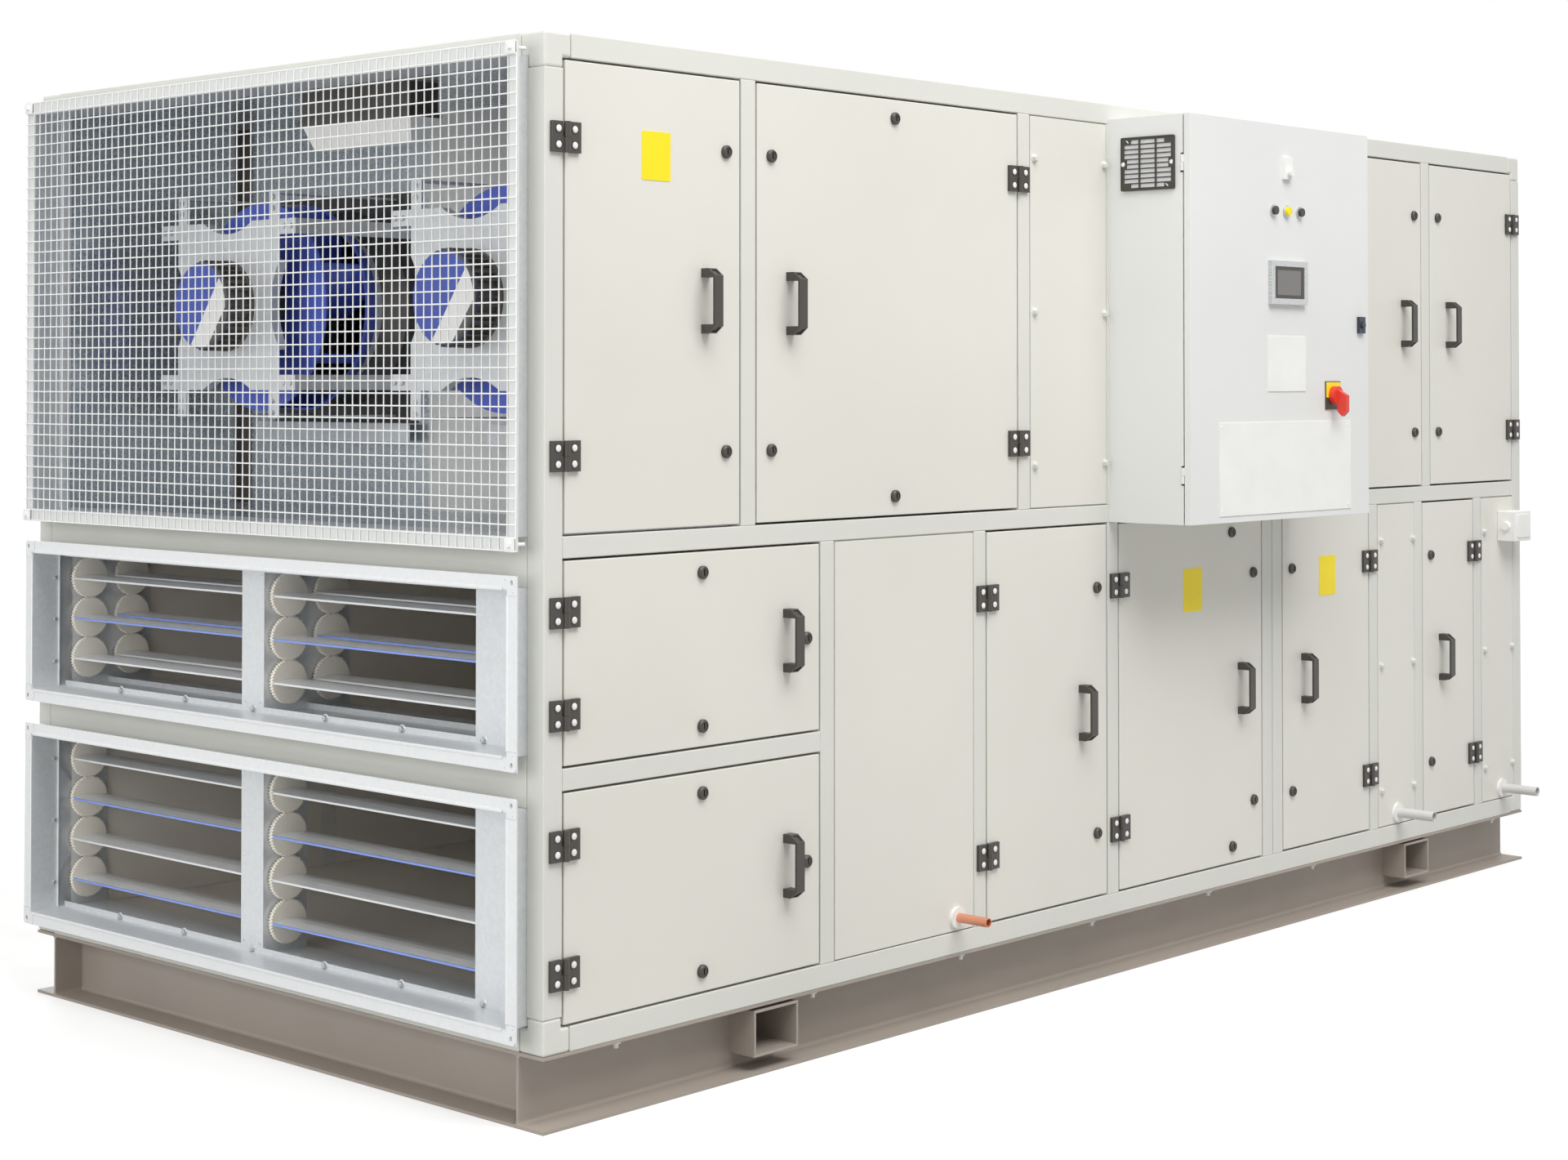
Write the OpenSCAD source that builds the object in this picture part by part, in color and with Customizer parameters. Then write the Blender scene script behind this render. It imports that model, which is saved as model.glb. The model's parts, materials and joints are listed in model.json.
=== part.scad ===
// Air handling unit: a panelled cabinet on a steel beam base, with two dampers and a guarded
// twin fan outlet at its left end, ten access doors and a control cabinet on its front.
// Millimetres. The long front looks to -Y, the damper end to -X, the unit stands on z = 0.

/* [Cabinet] */
// Length of the cabinet
body_l = 4100; // [3900:10:4800]
// Depth of the cabinet from front to back
body_d = 1820; // [1600:10:2200]
// Height of the cabinet above its base
body_h = 2030; // [1950:10:2300]
// Width of the frame profiles at the edges
profile = 50; // [40:1:60]
// Length of each arm of a corner piece
corner_arm = 72; // [62:1:100]
// Thickness of the panels
panel_t = 50; // [40:1:60]
// Thickness of the doors, thinner than the frame they close
door_t = 44; // [30:1:45]
// Open gap round each door
door_gap = 5; // [4:0.5:8]
// Width of the groove round each fixed panel
groove_w = 3; // [1:0.5:5]
// Depth of the groove round each fixed panel
groove_d = 6; // [3:1:12]

/* [Front layout] */
// Width of a post between two front bays
post_w = 45; // [36:1:60]
// Height of the rail between the two rows, on centre
mid_z = 1001.5; // [990:0.5:1060]
// Thickness of the rails between the rows and of the deck
mid_h = 44; // [36:1:60]
// Height of the rail between the two small doors, on centre
low_z = 540; // [520:1:560]
// Length of the right section, up to the joint of the two sections
right_l = 1435; // [1350:5:1600]
// Width of the double post at that joint
joint_w = 99; // [80:1:120]
// Width of the line between the two posts of the joint
joint_line = 3; // [1:0.5:6]
// Bay behind the control cabinet, left of the joint
cabinet_bay = 669.5; // [600:0.5:760]
// Bay of the fan door, the wide upper door after it takes what is left
fan_bay = 516; // [500:0.5:600]
// Fixed upper bay left of the control cabinet
blank_bay = 319; // [250:0.5:400]
// Fixed bay with the copper drain, the small doors left of it take what is left
copper_bay = 497.5; // [420:0.5:600]
// Bay of the door left of the control cabinet
filter_bay = 492.5; // [420:0.5:600]
// Fixed upper bay right of the joint, the door after it takes what is left
spare_bay = 204.5; // [150:0.5:260]
// Bay of the last upper door
last_bay = 515.5; // [450:0.5:600]
// Fixed bay with the left grey drain, the door left of it takes what is left
drain_bay_1 = 214; // [180:0.5:260]
// Bay of the narrowest door
slim_bay = 315; // [290:0.5:380]
// Fixed bay with the right grey drain
drain_bay_2 = 205.5; // [180:0.5:260]

/* [Base] */
// Height of the base beams
base_h = 152; // [120:1:200]
// Width of the beam flanges
flange_b = 152; // [120:1:180]
// Thickness of the beam flanges
flange_t = 7; // [6:0.5:12]
// Thickness of the beam webs
web_t = 6; // [5:0.5:10]
// Root radius of the beams
root_r = 8; // [4:0.5:12]
// Width of a lifting tube
tube_w = 140; // [100:1:160]
// Height of a lifting tube
tube_h = 100; // [80:1:105]
// Wall of a lifting tube
tube_t = 6; // [4:0.5:10]
// Centre of the left lifting tube
tube_x_1 = 678; // [500:1:900]
// Centre of the right lifting tube
tube_x_2 = 3446; // [3000:1:3600]

/* [Door fittings] */
// Height of a hinge
hinge_h = 62; // [50:1:80]
// Width of one hinge leaf from the pin
hinge_w = 39; // [30:1:48]
// Thickness of a hinge leaf
hinge_t = 8; // [5:0.5:10]
// Radius of a hinge knuckle
knuckle_r = 7; // [5:0.5:8]
// Strap between the knuckle and the leaf of a hinge
hinge_strap = 3; // [2:0.5:6]
// Distance of the hinge pin out of the hinge leaves
hinge_off = 1; // [0:0.5:3]
// Play between the two halves of a hinge
hinge_play = 0.4; // [0.2:0.1:0.8]
// Distance of hinges and latches from the ends of a tall door
fit_inset = 155; // [120:1:200]
// The same distance on a small door
fit_inset_small = 102; // [90:1:120]
// Distance of a latch from the door edge
latch_inset = 43; // [36:1:60]
// Radius of a latch knob
latch_r = 14; // [10:0.5:18]
// Height of a latch knob
latch_h = 9; // [6:0.5:14]
// Slope round the rim of a latch knob
latch_edge = 3; // [1:0.5:4]
// Radius of the dished middle of a latch knob
latch_cup_r = 9; // [6:0.5:10]
// Depth of that middle
latch_cup_d = 1.5; // [1:0.5:3]
// Width of the key slot in a latch
latch_slot_w = 4; // [3:0.5:5]
// Length of the key slot
latch_slot_l = 13; // [10:0.5:15]
// Depth of the key slot
latch_slot_d = 3; // [2:0.5:4]
// Distance of a handle from the free edge of its door
handle_inset = 105; // [95:1:130]
// Length of a handle
handle_l = 137; // [110:1:170]
// Width of a handle
handle_w = 25; // [18:1:32]
// Height of a handle over the door
handle_out = 41; // [34:1:55]
// Thickness of the handle grip
handle_t = 6; // [5:0.5:10]
// Height of the straight side of a handle foot
handle_side = 21; // [16:1:28]
// Slope at the ends of the grip, along the handle
handle_cut = 15.5; // [10:0.5:18]
// Length of a handle foot
handle_foot = 19; // [18:0.5:26]
// Width of the pocket in each sloping end
pocket_w = 17; // [12:0.5:18]
// Depth of that pocket
pocket_d = 2.5; // [1:0.5:3]

/* [Damper end] */
// Distance of the flange faces from the cabinet end
flange_out = 51; // [40:1:80]
// Width of the duct flanges
flange_w = 27; // [20:1:27]
// Thickness of the duct sheets
sheet = 3; // [2:0.5:4]
// Distance of the damper frames behind the cabinet end
damper_in = 40; // [30:1:60]
// Depth of a damper frame
damper_d = 120; // [110:1:140]
// Height of the sill under the lower damper
sill_h = 55; // [50:1:70]
// Height of the upper damper sleeve above the cabinet bottom
upper_z = 590; // [580:1:620]
// Distance between two blade shafts
blade_pitch = 97; // [94:1:100]
// Space above and below the blades
blade_end = 17.5; // [12:0.5:24]
// Gap between two closed blades
blade_gap = 5; // [4:0.5:8]
// Thickness of a blade at its shaft
blade_t = 13; // [12.5:0.5:20]
// Thickness of a blade at its edges
blade_edge = 3; // [2:0.5:5]
// Radius of a blade shaft
shaft_r = 6; // [4:0.5:6]
// Play of a shaft in its hole
shaft_play = 0.3; // [0.2:0.1:0.6]
// Play at both ends of a blade
blade_side = 5; // [4:0.5:10]
// Play at the ends of a blade shaft
row_play = 1; // [0.5:0.5:2]
// Teeth on each gear, in fours
gear_n = 44; // [36:4:56]
// Height of a gear tooth
tooth_h = 3.2; // [2:0.1:4]
// Thickness of a gear
gear_t = 10; // [6:1:14]
// Distance of the middle strut from the back of the frame
strut_y = 811; // [700:1:900]
// Width of the middle strut
strut_w = 82; // [60:1:110]
// Width of the closed end of a damper
blank_w = 197; // [150:1:260]
// Radius of the holes in the flange corners
corner_hole_r = 5; // [3:0.5:6]

/* [Guard] */
// Distance between guard wires
mesh_pitch = 25.8; // [20:0.1:50]
// Radius of a guard wire
wire_r = 1.6; // [1.2:0.1:2.5]
// Play between crossing wires
wire_play = 0.1; // [0.05:0.05:0.3]
// Thickness of the corner plates
clip_t = 3; // [2:0.5:4]
// Height of a bolt head on the corner plates
bolt_head = 7; // [4:0.5:10]
// Radius of a bolt head
bolt_r = 6.5; // [5:0.5:8]
// Length of a guard bolt
bolt_l = 40; // [30:1:45]
// Play of a guard bolt in its hole
bolt_play = 1; // [0.5:0.5:2]

/* [Fans] */
// Distance of a fan from the middle of the unit
fan_y = 441; // [420:1:470]
// Height of the fans above the middle of the fan chamber
fan_z = 10.25; // [-22:0.25:28.5]
// Place of the fan brackets behind the cabinet end
bracket_x = 211; // [190:1:240]
// Half the size of a fan bracket
bracket_s = 265; // [250:1:275]
// Distance of the bracket ears from the fan axis
ear_s = 182; // [170:1:195]
// Width of the bracket ears and struts
ear_w = 36; // [30:1:45]
// Thickness of the brackets and struts
bracket_t = 5; // [3:0.5:8]
// Radius of the cut-outs between the bracket ears
notch_r = 175; // [150:1:190]
// Distance of the cut-outs from the fan axis
notch_s = 171; // [150:1:180]
// Depth of the folded rims of the cut-outs
rim_d = 25; // [15:1:35]
// Height of the angle under each inlet plate
angle_h = 45; // [30:1:60]
// Length of that angle
angle_l = 600; // [500:1:640]
// Radius of a motor
motor_r = 108; // [95:1:115]
// Length of a motor
motor_l = 169; // [150:1:176]
// Distance of the motor end in front of its bracket
motor_out = 77; // [60:1:90]
// Radius of the cap on the motor end
cap_r = 103; // [90:1:106]
// Height of the motor cap
cap_h = 12; // [8:1:16]
// Slope round the motor cap
cap_edge = 4; // [2:0.5:8]
// Cooling fins round a motor
fin_n = 36; // [24:4:48]
// Height of a cooling fin
fin_h = 9; // [5:1:12]
// Thickness of a cooling fin
fin_t = 4; // [3:0.5:6]
// Length of the collar that sits in the bracket
collar_l = 24; // [16:1:30]
// Radius of a motor shaft
motor_shaft_r = 15; // [10:1:20]
// Length of the shaft inside the motor
shaft_in = 43; // [30:1:60]
// Outer radius of an impeller
wheel_r = 250; // [220:1:255]
// Inner radius of the impeller inlet
inlet_r = 208; // [180:1:212]
// Length of an impeller
wheel_l = 180; // [150:1:184]
// Blades on each impeller
wheel_blades = 7; // [5:1:9]
// Radius at which the impeller blades begin
blade_root = 125; // [110:1:150]
// Radius of the bend of an impeller blade
blade_bend = 170; // [150:1:190]
// Distance of the middle of that bend from the shaft
bend_x = 150; // [130:1:170]
// Thickness of the impeller sheets
wheel_t = 5; // [4:0.5:8]
// Gap between impeller and bracket or inlet cone
wheel_gap = 8; // [5:0.5:10]
// Length of the sloping impeller shroud
shroud_l = 60; // [40:1:80]
// Radius of the impeller hub at its root
hub_r = 90; // [70:1:110]
// Radius of the impeller hub at its tip
hub_tip = 60; // [40:1:70]
// Length of the impeller hub
hub_l = 50; // [40:1:60]
// Overlap of an inlet cone and its impeller
cone_in = 12; // [8:1:16]
// Step of the inlet cone lips
cone_lip = 20; // [14:1:24]
// Length of the straight end of an inlet cone
cone_l = 40; // [30:1:50]
// Widening of an inlet cone up to its plate
cone_wide = 34; // [28:1:40]
// Half the size of the square inlet plates
inlet_s = 280; // [275:1:300]
// Place of the fan chamber lamp behind the cabinet end
lamp_x = 150; // [120:1:170]
// Distance of the lamp in front of the middle of the unit
lamp_y = 170; // [100:1:200]
// Length of the lamp
lamp_l = 390; // [300:1:420]
// Width of the lamp
lamp_w = 90; // [70:1:110]
// Height of the lamp
lamp_h = 130; // [100:1:150]
// Height of the lamp body under the roof
lamp_body = 62; // [40:1:70]
// Height of the lamp rim
lamp_rim = 14; // [8:1:20]
// Slope of the sides of the lamp diffuser
lamp_slope = 20; // [10:1:25]
// Step between the lamp and its rim
lamp_lip = 6; // [4:1:10]

/* [Control cabinet] */
// Distance of its left side from the middle of the post behind it
cc_lap = 15; // [5:1:20]
// Width of the control cabinet
cc_w = 850; // [800:1:900]
// Height of the control cabinet
cc_h = 1012; // [900:1:1012]
// Height of its underside above the cabinet bottom
cc_z = 980; // [980:1:990]
// Depth of the control cabinet with its door
cc_d = 244; // [200:1:300]
// Depth of its door
cc_door_d = 18; // [15:1:30]
// Gap behind its door
cc_gap = 10; // [8:1:14]
// Sheet thickness of the control cabinet
cc_t = 3; // [2:0.5:4]
// Radius of the hinge barrels in that gap
cc_barrel_r = 4; // [3:0.5:4.5]
// Distance of the hinge barrels from the ends of the door
cc_hinge_in = 121; // [90:1:160]
// Depth that a hinge barrel reaches into the control cabinet and its door
cc_reach = 4; // [3:0.5:6]
// Length of a hinge barrel
cc_barrel_h = 40; // [30:1:60]
// Length of the switch handle
switch_l = 71; // [60:1:76]
// Length of the switch handle above its axis
switch_up = 16; // [12:1:20]
// Height of the switch handle over the door
switch_out = 46; // [38:1:60]
// Radius of the switch boss
switch_r = 24; // [18:1:30]
// Height of the switch boss
switch_h = 16; // [12:1:20]
// Thickness of the switch handle
switch_t = 16; // [12:1:20]
// Size of the switch plate
switch_w = 74; // [60:1:90]
// Distance of the switch from the right edge of the door
switch_inset = 186; // [160:1:220]
// Height of the switch on the door
switch_z = 316; // [300:1:330]

/* [Control door] */
// Distance of the middle column of fittings from the middle of the door
column_x = 15; // [0:1:40]
// Thickness of the bare plates
plate_t = 2; // [1:0.5:3]
// Thickness of the switch plate
switch_plate_t = 3; // [2:0.5:4]
// Width of the toggle plate
toggle_w = 36; // [30:1:44]
// Height of the toggle plate
toggle_h = 56; // [48:1:64]
// Thickness of the toggle plate
toggle_t = 10; // [6:1:14]
// Radius of the toggle knob
toggle_r = 10; // [8:0.5:14]
// Height of the toggle knob over the door
toggle_out = 20; // [16:1:26]
// Distance of the toggle knob under the middle of its plate
toggle_drop = 10; // [4:1:13]
// Place of the toggle plate on the door
toggle_z = 900; // [880:1:920]
// Radius of a push button
button_r = 11; // [9:0.5:12.5]
// Height of a push button
button_h = 12; // [8:1:16]
// Radius of the ring round a push button
ring_r = 16; // [13:0.5:19]
// Height of that ring
ring_h = 4; // [2:0.5:6]
// Distance between push buttons
button_pitch = 62.5; // [50:0.5:75]
// Place of the push buttons on the door
button_z = 790; // [770:1:810]
// Width of the screen
screen_w = 172; // [150:1:190]
// Height of the screen
screen_h = 112; // [100:1:124]
// Thickness of the screen
screen_t = 12; // [8:1:16]
// Width of the frame round the glass
screen_rim = 15; // [10:1:20]
// Depth of the glass behind its frame
screen_in = 2; // [1:0.5:3]
// Place of the screen on the door
screen_z = 606; // [590:1:620]
// Width of the lock
lock_w = 30; // [24:1:36]
// Height of the lock
lock_h = 44; // [36:1:52]
// Thickness of the lock
lock_t = 9; // [6:1:12]
// Radius of the lock barrel
lock_r = 9; // [7:0.5:11]
// Height of the lock barrel over the door
lock_out = 14; // [11:1:18]
// Distance of the lock from the right edge of the door
lock_inset = 44; // [30:1:60]
// Place of the lock on the door
lock_z = 503; // [480:1:520]
// Width of the small bare plate
label_w = 180; // [150:1:200]
// Height of the small bare plate
label_h = 142; // [120:1:150]
// Place of the small bare plate on the door
label_z = 398; // [390:1:405]
// Width of the large bare plate
sign_w = 628; // [560:1:680]
// Height of the large bare plate
sign_h = 233; // [200:1:240]
// Place of the large bare plate on the door
sign_z = 133; // [125:1:140]

/* [Vent and junction box] */
// Width of the vent in the side of the control cabinet
vent_w = 158; // [130:1:170]
// Height of the vent
vent_h = 134; // [110:1:150]
// Thickness of the vent
vent_t = 8; // [6:1:10]
// Distance of the vent from the front of the unit
vent_y = 122; // [115:1:130]
// Distance of the vent from the top of the control cabinet
vent_drop = 118; // [90:1:140]
// Columns of slots in the vent
vent_cols = 3; // [2:1:4]
// Rows of slots in the vent
vent_rows = 10; // [6:1:12]
// Rim round the slots
vent_rim = 10; // [8:1:14]
// Height of a slot
slot_h = 5; // [3:0.5:6]
// Bridge between two slots of a row
slot_gap = 7; // [5:0.5:10]
// Depth of a slot
slot_d = 5; // [3:0.5:5]
// Width of the junction box
box_w = 104; // [80:1:120]
// Height of the junction box
box_h = 92; // [70:1:110]
// Depth of the junction box
box_d = 60; // [45:1:75]
// Distance of the junction box from the right end
box_side = 46; // [30:1:60]
// Distance of the junction box under the middle rail
box_drop = 45; // [30:1:80]
// Radius of the cable entry in the side of the junction box
gland_r = 14; // [10:0.5:18]
// Length of the cable entry
gland_l = 9; // [5:1:14]

/* [Drains] */
// Radius of the copper drain
copper_r = 11; // [8:0.5:14]
// Length of the copper drain
copper_l = 95; // [60:1:140]
// Radius of the grey drains
drain_r = 14; // [10:0.5:18]
// Length of the grey drains
drain_l = 120; // [80:1:160]
// Wall of the drains
drain_t = 2; // [1:0.5:3]
// Width of the rosettes round the drains
rosette_w = 14; // [8:1:20]
// Thickness of the rosettes
rosette_t = 8; // [3:1:12]
// Height of the drains above the cabinet bottom
drain_z = 84; // [80:1:110]
// Distance of the copper drain from the post at its right
copper_side = 67; // [50:1:90]
// Distance of the right grey drain from the middle of its panel
drain_side = 20; // [0:1:40]

/* [Hidden] */
$fn = 48;
fit = 0.5;
over = 1;
guard_out = flange_out + 4 * wire_r + 3 * wire_play;
mid_x = (body_l - guard_out - clip_t - bolt_head) / 2;
mid_y = (body_d - cc_d - switch_out) / 2;
mid_lo = mid_z - mid_h / 2;
mid_hi = mid_z + mid_h / 2;
low_lo = low_z - mid_h / 2;
low_hi = low_z + mid_h / 2;
top_lo = body_h - profile;
half = post_w / 2;
joint_x = body_l - right_l;
joint_l = joint_x - joint_w / 2;
joint_r = joint_x + joint_w / 2;
split_3 = joint_l - cabinet_bay - half;
u_split_1 = profile + fan_bay + half;
u_split_2 = split_3 - post_w - blank_bay;
u_split_4 = joint_r + spare_bay + half;
u_split_5 = body_l - profile - last_bay - half;
l_split_2 = split_3 - post_w - filter_bay;
l_split_1 = l_split_2 - post_w - copper_bay;
l_split_6 = body_l - profile - drain_bay_2 - half;
l_split_5 = l_split_6 - post_w - slim_bay;
l_split_4 = l_split_5 - post_w - drain_bay_1;
cc_x = split_3 - cc_lap;
copper_x = l_split_2 - half - copper_side;
drain_x_1 = (l_split_4 + l_split_5) / 2;
drain_x_2 = (l_split_6 + half + body_l - profile) / 2 + drain_side;
hinge_y = -hinge_t - hinge_off;
upper_rows = 3;
lower_rows = 4;
upper_h = damper_h(upper_rows);
lower_h = damper_h(lower_rows);
sleeve_y0 = profile;
sleeve_y1 = body_d - profile;
shaft_x = damper_in + damper_d / 2;
strut_y0 = body_d - strut_y - strut_w / 2;
strut_y1 = body_d - strut_y + strut_w / 2;
blank_y = sleeve_y0 + sheet + blank_w;
blade_c = blade_pitch - blade_gap;
wall_x0 = u_split_1 - half;
wall_x1 = u_split_1 + half;
motor_x = bracket_x - motor_out;
wheel_x = motor_x + motor_l + wheel_gap;
cone_r = inlet_r - wheel_gap;
fan_axis = (mid_hi + top_lo) / 2 + fan_z;
cc_front = -cc_d;
cc_body_y = -cc_d + cc_door_d + cc_gap;
cc_pin_y = -cc_d + cc_door_d + cc_gap / 2;
cc_hinges = [cc_hinge_in, cc_h - cc_hinge_in];
barrel_h = (cc_barrel_h - hinge_play) / 2;

panel_grey = [0.87, 0.87, 0.84];
frame_grey = [0.82, 0.84, 0.83];
base_grey = [0.55, 0.5, 0.46];
steel = [0.75, 0.77, 0.79];
black = [0.08, 0.08, 0.09];
white = [0.94, 0.94, 0.93];
cream = [0.9, 0.87, 0.78];
blue = [0.1, 0.16, 0.55];

// Height of a damper sleeve for a number of blade rows
function damper_h(rows) = rows * blade_pitch + 2 * blade_end + 2 * sheet;

// Height of a blade shaft over the bottom of its sleeve, counted from the top row
function row_z(rows, i) = sheet + blade_end + (rows - i - 0.5) * blade_pitch;

// Sub-part to draw, or all

// Place of the cabinet on its base, with the origin under the middle of the unit
module on_base() translate([-mid_x, -mid_y, base_h]) children();
module on_floor() translate([-mid_x, -mid_y, 0]) children();

// A box between two corners
module box(a, b) translate(a) cube(b - a);

// A rolled beam along X with its flange edge on y = 0
module beam(l) {
    cube([l, flange_b, flange_t]);
    translate([0, 0, base_h - flange_t]) cube([l, flange_b, flange_t]);
    translate([0, (flange_b - web_t) / 2, 0]) cube([l, web_t, base_h]);
    for (j = [0, 1], k = [0, 1])
        translate([0, flange_b / 2, base_h / 2]) mirror([0, j, 0]) mirror([0, 0, k])
            translate([0, web_t / 2, flange_t - base_h / 2]) root_fillet(l);
}

// Rounded inner corner between web and flange
module root_fillet(l) difference() {
    translate([0, -over, -over]) cube([l, root_r + over, root_r + over]);
    translate([-over, root_r, root_r]) rotate([0, 90, 0]) cylinder(r = root_r, h = l + 2 * over);
}

module lifting_tube(x) {
    z = base_h - 2 * flange_t - tube_h;
    difference() {
        translate([x - tube_w / 2, 0, z]) cube([tube_w, body_d, tube_h]);
        translate([x - tube_w / 2 + tube_t, -over, z + tube_t])
            cube([tube_w - 2 * tube_t, body_d + 2 * over, tube_h - 2 * tube_t]);
    }
}

module base_frame() color(base_grey) on_floor() difference() {
    union() {
        beam(body_l);
        translate([0, body_d - flange_b, 0]) beam(body_l);
        for (x = [flange_b, body_l])
            translate([x, flange_b / 2, 0]) rotate([0, 0, 90]) beam(body_d - flange_b);
    }
    for (x = [tube_x_1, tube_x_2])
        translate([x - tube_w / 2, -over, base_h - 2 * flange_t - tube_h])
            cube([tube_w, body_d + 2 * over, tube_h]);
}

module lifting_tubes() color(base_grey) on_floor() {
    lifting_tube(tube_x_1);
    lifting_tube(tube_x_2);
}

module corner_piece(i, j, k) {
    x = i * (body_l - profile);
    y = j * (body_d - profile);
    z = k * (body_h - profile);
    translate([i * (body_l - corner_arm), y, z]) cube([corner_arm, profile, profile]);
    translate([x, j * (body_d - corner_arm), z]) cube([profile, corner_arm, profile]);
    translate([x, y, k * (body_h - corner_arm)]) cube([profile, profile, corner_arm]);
}

module corner_pieces() color(frame_grey) on_base()
    for (i = [0, 1], j = [0, 1], k = [0, 1]) corner_piece(i, j, k);

// Posts of one face between two heights
module post_row(centres, y, z0, z1) {
    for (x = centres) box([x - half, y, z0], [x + half, y + profile, z1]);
    box([joint_l, y, z0], [joint_x - joint_line / 2, y + profile, z1]);
    box([joint_x + joint_line / 2, y, z0], [joint_r, y + profile, z1]);
}

module posts() color(frame_grey) on_base() {
    for (x = [0, body_l - profile], y = [0, body_d - profile])
        box([x, y, corner_arm], [x + profile, y + profile, body_h - corner_arm]);
    post_row([u_split_1, u_split_2, split_3, u_split_4, u_split_5], 0, mid_hi, top_lo);
    post_row([l_split_1, l_split_2, split_3, l_split_4, l_split_5, l_split_6], 0, profile, mid_lo);
    post_row([l_split_1, split_3, l_split_5], body_d - profile, mid_hi, top_lo);
    post_row([l_split_1, split_3, l_split_5], body_d - profile, profile, mid_lo);
}

module frame_rails() color(frame_grey) on_base() {
    for (y = [0, body_d - profile]) {
        for (z = [0, top_lo])
            box([corner_arm, y, z], [body_l - corner_arm, y + profile, z + profile]);
        box([profile + fit, y, mid_lo], [body_l - profile - fit, y + profile, mid_hi]);
    }
    for (z = [0, top_lo]) {
        box([body_l - profile, corner_arm, z], [body_l, body_d - corner_arm, z + profile]);
        box([joint_l, profile + fit, z], [joint_r, body_d - profile - fit, z + profile]);
    }
    box([body_l - profile, profile, mid_lo], [body_l, body_d - profile, mid_hi]);
    box([profile + fit, 0, low_lo], [l_split_1 - half, profile, low_hi]);
    box([0, corner_arm, 0], [profile, body_d - corner_arm, sill_h]);
    box([0, corner_arm, top_lo], [profile, body_d - corner_arm, body_h]);
    y0 = profile + joint_line / 2;
    y1 = body_d - profile - joint_line / 2;
    box([0, y0, sill_h + lower_h], [profile, y1, upper_z]);
    box([0, y0, upper_z + upper_h], [profile, y1, mid_hi]);
}

// Fixed panels with a groove round their outer face, for a front or back bay
module front_panel(x0, x1, z0, z1) {
    box([x0 + fit, groove_d, z0 + fit], [x1 - fit, panel_t, z1 - fit]);
    box([x0 + groove_w, 0, z0 + groove_w], [x1 - groove_w, groove_d + over, z1 - groove_w]);
}

module back_panel(x0, x1, z0, z1)
    translate([0, body_d, 0]) mirror([0, 1, 0]) front_panel(x0, x1, z0, z1);

module end_panel(z0, z1) {
    y0 = profile;
    y1 = body_d - profile;
    box([body_l - panel_t, y0 + fit, z0 + fit], [body_l - groove_d, y1 - fit, z1 - fit]);
    box([body_l - groove_d - over, y0 + groove_w, z0 + groove_w], [body_l, y1 - groove_w, z1 - groove_w]);
}

module level_panel(x0, x1, top) {
    y0 = profile;
    y1 = body_d - profile;
    z = top ? body_h - panel_t : groove_d;
    face = top ? body_h - groove_d - over : 0;
    box([x0 + fit, y0 + fit, z], [x1 - fit, y1 - fit, z + panel_t - groove_d]);
    box([x0 + groove_w, y0 + groove_w, face], [x1 - groove_w, y1 - groove_w, face + groove_d + over]);
}

module wall_panels() color(panel_grey) on_base() {
    for (top = [false, true]) {
        level_panel(profile, joint_l, top);
        level_panel(joint_r, body_l - profile, top);
    }
    for (z = [[profile, mid_lo], [mid_hi, top_lo]]) {
        back_panel(profile, l_split_1 - half, z[0], z[1]);
        back_panel(l_split_1 + half, split_3 - half, z[0], z[1]);
        back_panel(split_3 + half, joint_l, z[0], z[1]);
        back_panel(joint_r, l_split_5 - half, z[0], z[1]);
        back_panel(l_split_5 + half, body_l - profile, z[0], z[1]);
        end_panel(z[0], z[1]);
    }
}

module front_fixed_panels() color(panel_grey) on_base() {
    front_panel(u_split_2 + half, split_3 - half, mid_hi, top_lo);
    front_panel(split_3 + half, joint_l, mid_hi, top_lo);
    front_panel(joint_r, u_split_4 - half, mid_hi, top_lo);
    front_panel(l_split_1 + half, l_split_2 - half, profile, mid_lo);
    front_panel(l_split_4 + half, l_split_5 - half, profile, mid_lo);
    front_panel(l_split_6 + half, body_l - profile, profile, mid_lo);
}

module middle_deck() color(steel) on_base()
    box([profile + fit, profile + fit, mid_lo], [body_l - profile - fit, body_d - profile - fit, mid_hi]);

module at_fans() for (s = [-1, 1]) translate([0, body_d / 2 + s * fan_y, fan_axis]) children();

module fan_wall() color(steel) on_base() difference() {
    box([wall_x0, profile + fit, mid_hi], [wall_x1, body_d - profile - fit, top_lo]);
    at_fans() translate([wall_x0 - over, 0, 0]) rotate([0, 90, 0])
        cylinder(r = inlet_r + cone_lip, h = post_w + 2 * over);
}

// A duct sleeve in the left end, with a flange round its mouth
module sleeve(x0, x1, z0, h) difference() {
    box([x0, sleeve_y0, z0], [x1, sleeve_y1, z0 + h]);
    box([x0 - over, sleeve_y0 + sheet, z0 + sheet], [x1 + over, sleeve_y1 - sheet, z0 + h - sheet]);
}

module at_flange_corners(z0, h) {
    o = flange_w / 2;
    for (y = [sleeve_y0 - o, sleeve_y1 + o], z = [z0 - o, z0 + h + o])
        translate([-flange_out, y, z]) children();
}

module flange(z0, h) difference() {
    box([-flange_out, sleeve_y0 - flange_w, z0 - flange_w],
        [-flange_out + sheet, sleeve_y1 + flange_w, z0 + h + flange_w]);
    box([-flange_out - over, sleeve_y0 + sheet, z0 + sheet],
        [-flange_out + sheet + over, sleeve_y1 - sheet, z0 + h - sheet]);
    at_flange_corners(z0, h) translate([-over, 0, 0]) rotate([0, 90, 0])
        cylinder(r = corner_hole_r, h = sheet + 2 * over);
}

module guard_sleeve() color(steel) on_base() {
    sleeve(-flange_out, profile, mid_hi, top_lo - mid_hi);
    flange(mid_hi, top_lo - mid_hi);
}

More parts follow.
